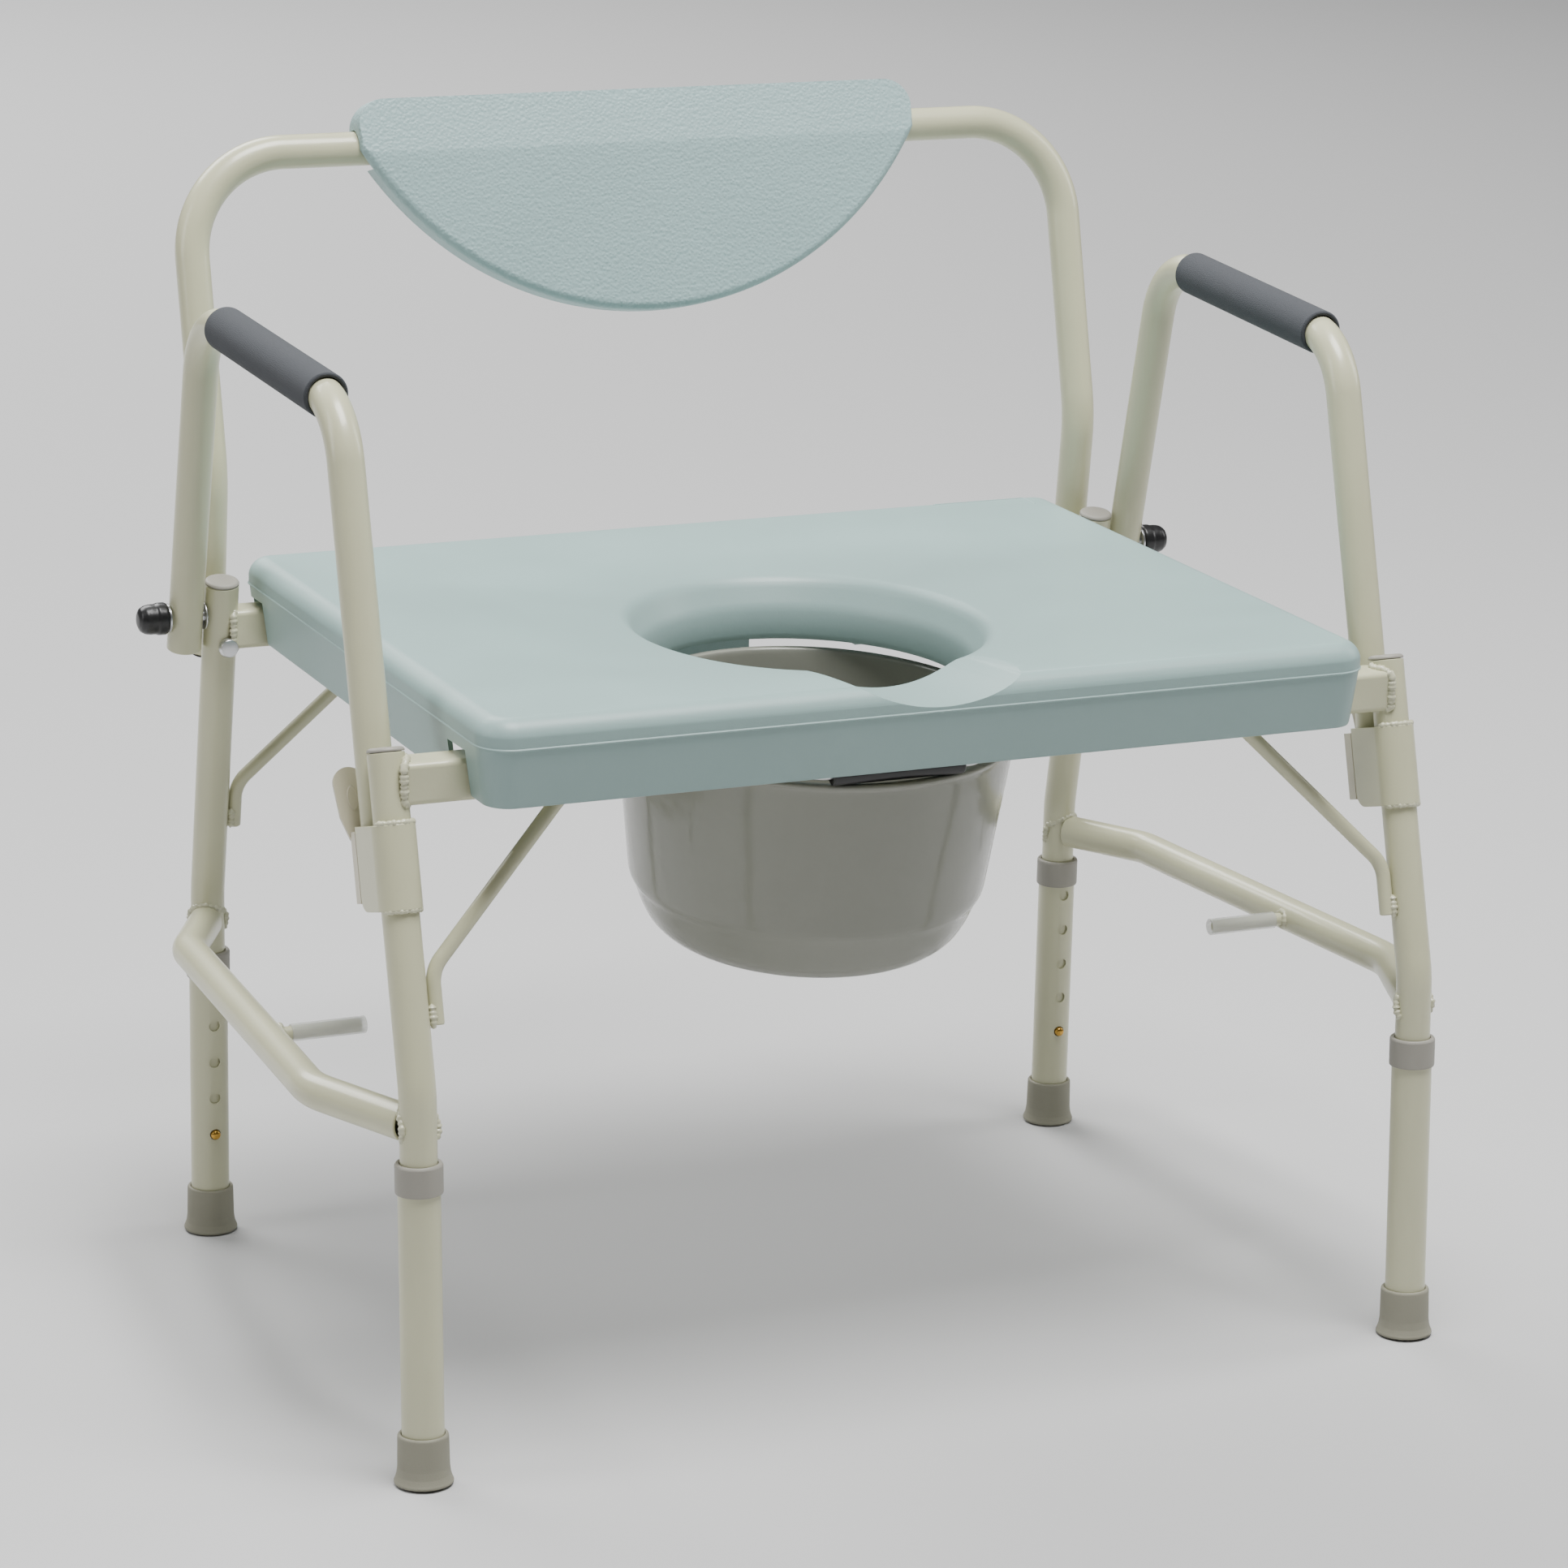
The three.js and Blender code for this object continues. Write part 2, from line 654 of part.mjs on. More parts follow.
const domeNut = turned([
  [PIVOT.r + GAP, nutStart],
  [9.6, nutStart],
  [10.5, nutStart + 1],
  [10.5, nutStart + 6],
  [9.8, nutStart + 7.4],
  [9.8, nutStart + 11],
  [9, nutStart + 15],
  [7, nutStart + 17.6],
  [4, nutStart + 18.8],
  [0, nutStart + 19.2],
  [0, armOuter + 12.3],
  [PIVOT.r + GAP, armOuter + 12.3],
  [PIVOT.r + GAP, nutStart],
]);
addPair("pivot_nut", alongX(domeNut, PIVOT.y, PIVOT.z), blackPlastic);

// ---------------------------------------------------------------- back frame
const backLean = deg(BACK.lean);
const backUp = vec(0, Math.sin(backLean), Math.cos(backLean));
const backFront = vec(0, -backUp.z, backUp.y);
const backBend = vec(0, BACK.bendY, BACK.bendZ);
const backAt = (x, s) => backBend.clone().addScaledVector(backUp, s).setX(x);
const backPath = [
  vec(BACK.x, BACK_FOOT.y, BACK_FOOT.z),
  backAt(BACK.x, 0),
  backAt(BACK.x, BACK.rise),
  backAt(-BACK.x, BACK.rise),
  backAt(-BACK.x, 0),
  vec(-BACK.x, BACK_FOOT.y, BACK_FOOT.z),
];
const backRadii = [90, BACK.corner, BACK.corner, 90];
const backFrame = tube(backPath, backRadii).subtract(backDrill).subtract(mirrored(backDrill));
addNode("back_frame", backFrame, paint);

const plug = turned([
  [0, -1.8],
  [9.6, -1.8],
  [11, -0.9],
  [11, -GAP],
  [9.2, -GAP],
  [9.2, 6],
  [0, 6],
]);
const legDown = backPath[1].clone().sub(backPath[0]).normalize();
const backPlug = placed(plug, vec(1, 0, 0), vec(0, legDown.z, -legDown.y), legDown, backPath[0]);
addPair("back_frame_plug", backPlug, blackPlastic);

// One bolt per side clamps the back frame to the rear post over a spacer.
const spacerFront = rearY(BACK_BOLT.z) + TUBE_R + 2.2;
const backLegY = BACK_FOOT.y - 0.1224 * (BACK_BOLT.z - BACK_FOOT.z);
const spacerRear = backLegY - TUBE_R - 1.5;
const headFront = rearY(BACK_BOLT.z) - TUBE_R - 2.2;
const nutRear = backLegY + TUBE_R + 1.5;
const backBolt = turned(
  [
    [0, headFront - 5],
    [5.6, headFront - 4.2],
    [6.5, headFront - 2],
    [6.5, headFront],
    [BACK_BOLT.r, headFront],
    [BACK_BOLT.r, spacerFront],
    [7, spacerFront],
    [7, spacerRear],
    [BACK_BOLT.r, spacerRear],
    [BACK_BOLT.r, nutRear],
    [7, nutRear],
    [7, nutRear + 4],
    [5, nutRear + 7.5],
    [0, nutRear + 9],
  ],
  12,
);
const alongY = placed(
  backBolt,
  vec(0, 0, 1),
  vec(1, 0, 0),
  vec(0, 1, 0),
  vec(BACK_BOLT.x, 0, BACK_BOLT.z),
);
addPair("back_bolt", alongY, zinc);

// ---------------------------------------------------------------- backrest panel
// Drawn in the back frame's plane: x across, y up the lean, z towards the front.
function panelOutline(inset) {
  const arcY = PANEL.bottom + PANEL.arc;
  const r = PANEL.arc - inset;
  const half = PANEL.half - inset;
  const top = PANEL.top - inset;
  const corner = 19 - inset;
  const reach = Math.asin(half / r);
  const shape = new THREE.Shape();
  shape.absarc(0, arcY, r, -Math.PI / 2 - reach, -Math.PI / 2 + reach, false);
  shape.absarc(half - corner, top - corner, corner, 0, Math.PI / 2, false);
  shape.absarc(corner - half, top - corner, corner, Math.PI / 2, Math.PI, false);
  return shape;
}
const outlineRing = (inset, z) => {
  const points = panelOutline(inset).extractPoints(11).shape;
  return points.map((p) => vec(p.x, p.y, z));
};
const panelShell = loft([
  outlineRing(1.2, PANEL.edge),
  outlineRing(0, PANEL.edge + 2),
  outlineRing(0, PANEL.front - 6),
  outlineRing(1.6, PANEL.front - 2.2),
  outlineRing(5, PANEL.front),
]);
const panelHollow = loft([
  outlineRing(PANEL.wall, PANEL.edge - 5),
  outlineRing(PANEL.wall, PANEL.front - 7),
  outlineRing(PANEL.wall + 3, PANEL.front - PANEL.wall),
]);
const rollShape = new THREE.Shape();
rollShape.moveTo(PANEL.front - PANEL.wall, 176);
rollShape.lineTo(PANEL.front, 210);
rollShape.absarc(0, 220, 17, 0, Math.PI, false);
rollShape.lineTo(-17, 199);
rollShape.absarc(-14.9, 199, 2.1, Math.PI, 2 * Math.PI, false);
rollShape.lineTo(-12.8, 206);
rollShape.lineTo(0, 206);
rollShape.lineTo(0, 176);
const alongBar = (piece) => placed(piece, vec(0, 0, 1), vec(0, 1, 0), vec(-1, 0, 0), vec(0, 0, 0));
const rollBlock = alongBar(slab(rollShape, 2 * PANEL.half, 8).translate([0, 0, -PANEL.half]));
const outlinePrism = loft([outlineRing(0, -30), outlineRing(0, 30)]);
const channelSlot = new THREE.Shape();
channelSlot.moveTo(-11.9, 100);
channelSlot.lineTo(11.9, 100);
channelSlot.lineTo(11.9, BACK.rise);
channelSlot.absarc(0, BACK.rise, 11.9, 0, Math.PI, false);
const barSlot = alongBar(slab(channelSlot, 500, 8).translate([0, 0, -250]));
const rollCap = rollBlock.intersect(outlinePrism).subtract(barSlot);
const sideBore = alongBar(
  slab(roundShape(TUBE_R + 0.8, true), 500).translate([0, 0, -250]).translate([0, BACK.rise, 0]),
);
const panel = join(panelShell.subtract(panelHollow).subtract(sideBore), rollCap);
const leanCut = new THREE.Shape();
leanCut.moveTo(PANEL.front, 200);
leanCut.lineTo(40, 200);
leanCut.lineTo(40, 250);
leanCut.lineTo(PANEL.front - 8, 250);
const topBand = alongBar(slab(leanCut, 500).translate([0, 0, -250]));
const onBack = (piece) => placed(piece, vec(-1, 0, 0), backUp, backFront, backBend);
const panelBody = largest(panel.subtract(topBand).subtract(barSlot.intersect(box(-250, 250, 190, 260, -12, 12))));
addNode("backrest_panel", onBack(panelBody), seatPlastic);

// ---------------------------------------------------------------- seat
function seatRing(inset, z) {
  const ring = [];
  const corners = [
    [1, 1, 0],
    [-1, 1, 90],
    [-1, -1, 180],
    [1, -1, 270],
  ];
  for (const [sx, sy, start] of corners) {
    const edgeY = sy > 0 ? SEAT.rear - inset : SEAT.front + inset;
    const r = Math.max((sy > 0 ? SEAT.rearCorner : SEAT.corner) - inset, 4);
    const cy = edgeY - sy * r;
    const half = SEAT.half - inset;
    for (let k = 0; k <= 5; k += 1) {
      const angle = deg(start + 18 * k);
      ring.push(vec(sx * (half - r) + r * Math.cos(angle), cy + r * Math.sin(angle), z));
    }
  }
  return ring;
}
const seatRings = [
  seatRing(SEAT.draft + 1.5, SEAT.skirt),
  seatRing(SEAT.draft, SEAT.skirt + 2),
  seatRing(0.8, SEAT.parting - 0.5),
  seatRing(0, SEAT.parting),
  seatRing(0.4, SEAT.parting + 0.6),
];
for (const angle of [12, 36, 60, 90]) {
  const inset = 0.4 + SEAT.edge * (1 - Math.cos(deg(angle)));
  seatRings.push(seatRing(inset, SEAT.top - SEAT.edge * (1 - Math.sin(deg(angle)))));
}
const seatBlock = loft(seatRings);

// Everything above the dished deck: it blends from the oval opening out to the seat's edges.
function dishRing(share, z) {
  const ring = [];
  for (let k = 0; k < DISH.spokes; k += 1) {
    const angle = (2 * Math.PI * k) / DISH.spokes;
    const [c, s] = [Math.cos(angle), Math.sin(angle)];
    const mouthX = HOLE.mouth;
    const mouthY = HOLE.mouth * HOLE.long;
    const inner = 1 / Math.hypot(c / mouthX, s / mouthY);
    const wallX = (SEAT.half - DISH.margin) / Math.max(Math.abs(c), 1e-6);
    const reachY = s > 0 ? SEAT.rear - HOLE.y : HOLE.y - SEAT.front;
    const wallY = (reachY - DISH.margin) / Math.max(Math.abs(s), 1e-6);
    const outer = 1 / Math.hypot(1 / wallX ** 3, 1 / wallY ** 3) ** (1 / 3);
    const r = inner + (outer - inner) * share;
    ring.push(vec(r * c, HOLE.y + r * s, z));
  }
  return ring;
}
const dishRings = [];
for (let k = 0; k <= DISH.steps; k += 1) {
  const share = k / DISH.steps;
  dishRings.push(dishRing(share, SEAT.top + 0.05 - DISH.depth * (1 - share) ** 2));
}
dishRings.push(dishRing(1, SEAT.top + 20));
const aboveDeck = loft(dishRings);
const seatHollow = loft([
  seatRing(SEAT.draft + 3.2, SEAT.skirt - 2),
  seatRing(4.2, SEAT.parting),
  seatRing(SEAT.wall + 4, SEAT.top - SEAT.wall - 6),
  seatRing(SEAT.wall + 12, SEAT.top - SEAT.wall),
]).subtract(aboveDeck.translate([0, 0, -SEAT.wall]));

// The oval opening, its wall below the deck, and the dip from it to the front edge.
const mouthTop = SEAT.top - DISH.depth;
const ovalPiece = (profile) => turned(profile, 36).scale([1, HOLE.long, 1]).translate([0, HOLE.y, 0]);
const opening = ovalPiece([
  [0, HOLE.lip - 6],
  [HOLE.x + 3, HOLE.lip - 6],
  [HOLE.x, HOLE.lip + 4],
  [HOLE.x, HOLE.crease],
  [HOLE.mouth - 3.5, mouthTop - 5],
  [HOLE.mouth, mouthTop - 1],
  [HOLE.mouth + 5, mouthTop + 1],
  [HOLE.mouth + 5, SEAT.top + 3],
  [0, SEAT.top + 3],
]);
const collarWall = ovalPiece([
  [0, HOLE.lip],
  [HOLE.x + 3.6, HOLE.lip],
  [HOLE.x + SEAT.wall, HOLE.lip + 3],
  [HOLE.x + SEAT.wall, HOLE.crease],
  [HOLE.mouth + 3, mouthTop - 4],
  [0, mouthTop - 4],
]);
const scoopR = (SCOOP.half ** 2 + SCOOP.depth ** 2) / (2 * SCOOP.depth);
const scoopAxisZ = SEAT.top - SCOOP.depth + scoopR;
const scoopEnds = [vec(0, SEAT.front - 20, scoopAxisZ), vec(0, HOLE.y, scoopAxisZ - SCOOP.fall)];
const scoop = drill(scoopEnds[0], scoopEnds[1], scoopR, 72);
const scoopFloor = box(-52, 52, SEAT.front + 4, -100, SEAT.top - 29, SEAT.top - 4);

// The seat follows the slope from the front rail up to the rear rail.
const seatTilt = deg(SEAT.tilt);
const seatHinge = vec(0, SEAT.front, SEAT.skirt);
const onSeat = (piece) =>
  placed(
    piece.translate([0, -seatHinge.y, -seatHinge.z]),
    vec(1, 0, 0),
    vec(0, Math.cos(seatTilt), Math.sin(seatTilt)),
    vec(0, -Math.sin(seatTilt), Math.cos(seatTilt)),
    vec(SEAT.offset, seatHinge.y, seatHinge.z),
  );
const seatShell = join(
  seatBlock.subtract(seatHollow),
  collarWall,
  scoopFloor.intersect(seatBlock),
);

// Ribs stand on the rails, and three clips hang in front of the rear rail.
const frontRibTop = FRONT_RAIL_Z + RAIL.half + GAP;
const rearRibTop = REAR_RAIL_Z + RAIL.half + GAP;
const frontRailY = frontY(FRONT_RAIL_Z);
const rearRailY = rearY(REAR_RAIL_Z);
const ribs = [-230, -150, -75, 75, 150, 230].flatMap((x) => [
  box(x - 2, x + 2, frontRailY - 22, frontRailY + 22, frontRibTop, 480),
  box(x - 2, x + 2, rearRailY - 17, rearRailY + 12, rearRibTop, 480),
]);
const clipBack = rearRailY - RAIL.half - GAP;
const clips = [
  [-50, 50],
  [128, 210],
  [-210, -128],
].map(([x0, x1]) => box(x0, x1, clipBack - 4, clipBack, 379, 480));
const underDeck = onSeat(box(-290, 290, -230, 210, 300, SEAT.top - 2));
const railSlot = (y, top) => [
  box(255, 300, y - RAIL.half - 2.5, y + RAIL.half + 2.5, SEAT.skirt - 5, top),
  box(-300, -255, y - RAIL.half - 2.5, y + RAIL.half + 2.5, SEAT.skirt - 5, top),
];
const seat = join(onSeat(seatShell), join(...ribs, ...clips).intersect(underDeck))
  .subtract(onSeat(join(opening, scoop, aboveDeck)))
  .subtract(join(...railSlot(frontRailY, 431.5), ...railSlot(rearRailY, 440)));
addNode("seat", seat, seatPlastic);

// ---------------------------------------------------------------- pail and its guides
// Local frame of the rim: x across, y rearward up the slope, z out of the pail.
const pailSlope = deg(PAIL.tilt);
const slideBack = vec(0, Math.cos(pailSlope), Math.sin(pailSlope));
const rimUp = vec(0, -Math.sin(pailSlope), Math.cos(pailSlope));
const rimCentre = vec(0, PAIL.y, PAIL.z);
const onRim = (piece) => placed(piece, vec(1, 0, 0), slideBack, rimUp, rimCentre);

const side = (depth) => PAIL.top - PAIL.taper * depth;
const pailShell = turned(
  [
    [0, -PAIL.depth],
    [77.5, 1 - PAIL.depth],
    [91.5, 5 - PAIL.depth],
    [100, 12.5 - PAIL.depth],
    [106, 24 - PAIL.depth],
    [109.5, 34 - PAIL.depth],
    [side(108), -108],
    [side(4), -4],
    [PAIL.lip - 0.4, -3.6],
    [PAIL.lip, -2.6],
    [PAIL.lip, -1.2],
    [PAIL.lip - 1.2, 0],
    [side(0) - 2.2, 0],
    [side(0) - 3.4, -1.4],
    [side(106) - 2.4, -106],
    [106.9, 35 - PAIL.depth],
    [103.4, 25.4 - PAIL.depth],
    [98, 14.6 - PAIL.depth],
    [90, 7.6 - PAIL.depth],
    [76.5, 3.6 - PAIL.depth],
    [0, 2.6 - PAIL.depth],
  ],
  32,
);
const lug = box(118.6, 125, -5, 5, -6, 6.2)
  .subtract(box(110, 130, -12, 12, -12, -5))
  .subtract(drill(vec(115, 0, BAIL.rise), vec(135, 0, BAIL.rise), BAIL.wire + 0.35, 12));
addNode("pail", onRim(join(pailShell, lug, mirrored(lug))), pailPlastic);

const lift = Math.tan(deg(BAIL.lift));
const bailPoint = (x, y) => vec(x, y, BAIL.rise - lift * y);
const bail = rod(
  [
    bailPoint(116.5, 0),
    bailPoint(BAIL.side, 0),
    bailPoint(BAIL.side, -46),
    bailPoint(52, -BAIL.reach),
    bailPoint(-52, -BAIL.reach),
    bailPoint(-BAIL.side, -46),
    bailPoint(-BAIL.side, 0),
    bailPoint(-116.5, 0),
  ],
  BAIL.wire,
  [4, 50, 12, 12, 50, 4],
  8,
);
addNode("pail_bail", onRim(bail), zinc);
const bailGrip = rod([bailPoint(-44, -BAIL.reach), bailPoint(44, -BAIL.reach)], BAIL.grip, [], 16)
  .subtract(drill(bailPoint(-50, -BAIL.reach), bailPoint(50, -BAIL.reach), BAIL.wire + 0.4, 12));
addNode("pail_bail_grip", onRim(bailGrip), blackPlastic);

const ledgeTop = -3.9;
const guideLength = GUIDE.rear - GUIDE.front;
const ledge = box(
  GUIDE.inner,
  GUIDE.wall + GUIDE.plate,
  GUIDE.front - PAIL.y,
  GUIDE.front - PAIL.y + guideLength,
  ledgeTop - GUIDE.plate,
  ledgeTop,
);
const cheek = box(
  GUIDE.wall,
  GUIDE.wall + GUIDE.plate,
  GUIDE.front - PAIL.y,
  GUIDE.front - PAIL.y + guideLength,
  ledgeTop - GUIDE.plate,
  100,
);
const deckUnderside = SEAT.top - SEAT.wall - GAP;
const deckAndAbove = onSeat(box(-400, 400, -400, 400, deckUnderside, 700));
const dishAbove = onSeat(aboveDeck.translate([0, 0, -SEAT.wall - 2]));
const guide = onRim(join(ledge, cheek)).subtract(deckAndAbove).subtract(dishAbove);
addPair("pail_guide", guide, greyPlastic);

// ---------------------------------------------------------------- origin under the middle
chair.updateMatrixWorld(true);
const bounds = new THREE.Box3().setFromObject(chair, true);
chair.position.y = -(bounds.min.y + bounds.max.y) / 2;

export default chair;
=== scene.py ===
"""Looks for the drop-arm commode chair. Lengths are in millimetres until a mesh is made."""

import math

import bmesh
import bpy
import numpy as np
from mathutils import Matrix


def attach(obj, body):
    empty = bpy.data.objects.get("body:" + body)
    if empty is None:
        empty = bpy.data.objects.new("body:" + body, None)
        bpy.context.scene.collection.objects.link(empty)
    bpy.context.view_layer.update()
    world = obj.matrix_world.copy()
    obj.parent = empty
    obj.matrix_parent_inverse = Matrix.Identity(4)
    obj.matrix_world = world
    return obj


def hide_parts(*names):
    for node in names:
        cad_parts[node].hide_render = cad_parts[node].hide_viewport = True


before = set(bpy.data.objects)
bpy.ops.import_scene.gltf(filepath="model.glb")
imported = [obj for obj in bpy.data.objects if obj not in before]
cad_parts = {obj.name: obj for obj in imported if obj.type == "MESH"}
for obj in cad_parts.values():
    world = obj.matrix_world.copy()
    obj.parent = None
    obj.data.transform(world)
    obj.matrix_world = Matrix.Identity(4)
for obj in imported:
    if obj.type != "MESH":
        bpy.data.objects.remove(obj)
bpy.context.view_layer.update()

# ------------------------------------------------------------------ sizes
SHIFT_Y = -12.839142  # from the drawing frame to the row frame
FRONT_X, REAR_X = 332.0, 314.3
BEND_Y, BEND_Z = 230.74, 237.4  # where each post bends
FRONT_SLOPE, REAR_SLOPE = 0.2655, 0.1998  # y per z above the bend
POST_BOTTOM, FRONT_TOP, REAR_TOP = 46, 429.5, 453
LEAN = math.radians(1.5)  # of the legs, below the bend
TUBE_R = 11.1
WALL = 1.5
GAP = 0.3  # between parts that touch
LEG_HOLE_FIRST, LEG_HOLE_PITCH, LEG_HOLE_COUNT, LEG_HOLE_R = 70.6, 25.4, 5, 3.75
FRONT_RAIL_Z, REAR_RAIL_Z = 413.0, 423.0
RAIL_HALF, RAIL_CORNER, RAIL_WALL = 12.7, 3.5, 1.6
BRACE_R = 4.5
STRETCHER_Z = 218.0
STRETCHER = [(314.3, 231.2), (348.0, 165.0), (366.6, -142.0), (332.0, -231.2)]
SIDES = (("right", 1), ("left", -1))
ENDS = (("front", -1, FRONT_X), ("rear", 1, REAR_X))


def vec(*numbers):
    return np.array(numbers, float)


def unit(a):
    return a / np.linalg.norm(a)


def front_y(z):
    return -BEND_Y + FRONT_SLOPE * (z - BEND_Z)


def rear_y(z):
    return BEND_Y - REAR_SLOPE * (z - BEND_Z)


def low_y(z):
    return BEND_Y + math.tan(LEAN) * (BEND_Z - z)


# ------------------------------------------------------------------ mesh code
# A part is (points, faces). Rings run anticlockwise about the way they are stacked.
def bent(corners, radii=(), step=5.0):
    """Points and directions along straight runs joined by arcs."""
    c = [np.array(p, float) for p in corners]
    out = [(c[0], unit(c[1] - c[0]))]
    for i in range(1, len(c) - 1):
        before, after = unit(c[i] - c[i - 1]), unit(c[i + 1] - c[i])
        turn = math.acos(max(-1.0, min(1.0, float(before @ after))))
        radius = radii[i - 1]
        start = c[i] - before * radius * math.tan(turn / 2)
        inward = unit(after - before * (before @ after))
        centre = start + inward * radius
        count = max(2, round(math.degrees(turn) / step))
        for k in range(count + 1):
            a = turn * k / count
            point = centre - inward * radius * math.cos(a) + before * radius * math.sin(a)
            out.append((point, before * math.cos(a) + inward * math.sin(a)))
    out.append((c[-1], unit(c[-1] - c[-2])))
    return out


def framed(stations):
    """Adds two cross directions to each station, without twist."""
    first = stations[0][1]
    side = unit(np.cross(first, (0, 0, 1) if abs(first[2]) < 0.9 else (1, 0, 0)))
    out = []
    for point, along in stations:
        side = unit(side - along * (side @ along))
        out.append((point, along, side, np.cross(along, side)))
    return out


def ring(station, radius, shift=0.0, n=40):
    point, along, side, up = station
    a = np.linspace(0, 2 * math.pi, n, endpoint=False)[:, None]
    return point + along * shift + radius * (np.cos(a) * side + np.sin(a) * up)


def skin(rings, loop=False, caps=True):
    n, m = len(rings[0]), len(rings)
    faces = []
    for k in range(m if loop else m - 1):
        a, b = k * n, ((k + 1) % m) * n
        for i in range(n):
            j = (i + 1) % n
            faces.append((a + i, a + j, b + j, b + i))
    if caps and not loop:
        faces.append(tuple(range(n - 1, -1, -1)))
        faces.append(tuple((m - 1) * n + i for i in range(n)))
    return np.concatenate(rings), faces


def tube(stations, r=TUBE_R, wall=WALL, n=44, lip=0.5):
    f = framed(stations)
    inner = r - wall
    rings = [ring(f[0], inner, 0, n), ring(f[0], r - lip, 0, n), ring(f[0], r, lip, n)]
    rings += [ring(s, r, 0, n) for s in f[1:-1]]
    rings += [ring(f[-1], r, -lip, n), ring(f[-1], r - lip, 0, n), ring(f[-1], inner, 0, n)]
    rings += [ring(s, inner, 0, n) for s in reversed(f[1:-1])]
    return skin(rings, loop=True)


def rod(stations, r, n=28, lip=0.5):
    f = framed(stations)
    rings = [ring(f[0], r - lip, 0, n), ring(f[0], r, lip, n)]
    rings += [ring(s, r, 0, n) for s in f[1:-1]]
    rings += [ring(f[-1], r, -lip, n), ring(f[-1], r - lip, 0, n)]
    return skin(rings)


def soften(points, r, steps=4):
    """Rounds the corners of a profile."""
    pts = [np.array(p, float) for p in points]
    out = [pts[0]]
    for a, b, c in zip(pts, pts[1:], pts[2:]):
        before, after = a - b, c - b
        la, lc = np.linalg.norm(before), np.linalg.norm(after)
        if la < 1e-6 or lc < 1e-6:
            continue
        p = b + before / la * min(r, 0.45 * la)
        q = b + after / lc * min(r, 0.45 * lc)
        for k in range(steps + 1):
            t = k / steps
            out.append((1 - t) ** 2 * p + 2 * t * (1 - t) * b + t * t * q)
    out.append(pts[-1])
    return out


def lathe(profile, n=64, r=0.0):
    """A turned part about z, from pairs of radius and height."""
    if r:
        profile = soften(profile, r)
    a = np.linspace(0, 2 * math.pi, n, endpoint=False)
    rings = [np.stack([p[0] * np.cos(a), p[0] * np.sin(a), np.full(n, p[1])], 1) for p in profile]
    return skin(rings, caps=False)


def slab(outline, z0, z1):
    """A flat outline drawn anticlockwise in x and y, thickened along z."""
    p = np.array(outline, float)
    low = np.column_stack([p, np.full(len(p), z0)])
    high = np.column_stack([p, np.full(len(p), z1)])
    return skin([low, high])


def box(x0, x1, y0, y1, z0, z1):
    return slab([(x0, y0), (x1, y0), (x1, y1), (x0, y1)], z0, z1)


def arc(cx, cy, r, start, end, n=10):
    a = np.radians(np.linspace(start, end, n + 1))
    return [(cx + r * math.cos(t), cy + r * math.sin(t)) for t in a]


def join(*parts):
    points, faces, at = [], [], 0
    for p, f in parts:
        points.append(p)
        faces += [tuple(i + at for i in face) for face in f]
        at += len(p)
    return np.concatenate(points), faces


def mirrored(part):
    return part[0] * vec(-1, 1, 1), [tuple(reversed(f)) for f in part[1]]


def sided(part, sign):
    return part if sign > 0 else mirrored(part)


def placed(part, x_axis, y_axis, z_axis, origin):
    return part[0] @ np.array([x_axis, y_axis, z_axis], float) + np.array(origin, float), part[1]


def moved(part, x, y, z):
    return part[0] + vec(x, y, z), part[1]


def mesh_of(part, name, weld):
    mesh = bpy.data.meshes.new(name)
    mesh.from_pydata([tuple(p) for p in part[0]], [], part[1])
    bm = bmesh.new()
    bm.from_mesh(mesh)
    bmesh.ops.remove_doubles(bm, verts=bm.verts, dist=weld)
    bm.to_mesh(mesh)
    bm.free()
    return mesh


def carve(part, other, operation="DIFFERENCE"):
    """part with other cut away, added or kept in common."""
    objects = []
    for each in (part, other):
        o = bpy.data.objects.new("carve", mesh_of(each, "carve", 1e-4))
        bpy.context.scene.collection.objects.link(o)
        objects.append(o)
    cut = objects[0].modifiers.new("cut", "BOOLEAN")
    cut.operation = operation
    cut.object = objects[1]
    cut.solver = "MANIFOLD"
    made = objects[0].evaluated_get(bpy.context.evaluated_depsgraph_get()).to_mesh()
    points = np.zeros(len(made.vertices) * 3, np.float32)
    made.vertices.foreach_get("co", points)
    faces = [tuple(p.vertices) for p in made.polygons]
    for o in objects:
        mesh = o.data
        bpy.data.objects.remove(o)
        bpy.data.meshes.remove(mesh)
    if not faces:
        raise RuntimeError("a boolean left nothing")
    return points.reshape(-1, 3).astype(float), faces


def largest(part):
    """The biggest of a part's separate bodies."""
    points, faces = part
    root = list(range(len(points)))

    def find(i):
        while root[i] != i:
            root[i] = root[root[i]]
            i = root[i]
        return i

    for face in faces:
        for i in face[1:]:
            root[find(i)] = find(face[0])
    groups = {}
    for face in faces:
        groups.setdefault(find(face[0]), []).append(face)
    best = max(groups.values(), key=lambda g: np.ptp(points[[i for f in g for i in f]], 0).prod())
    used = sorted({i for f in best for i in f})
    new = {old: k for k, old in enumerate(used)}
    return points[used], [tuple(new[i] for i in f) for f in best]


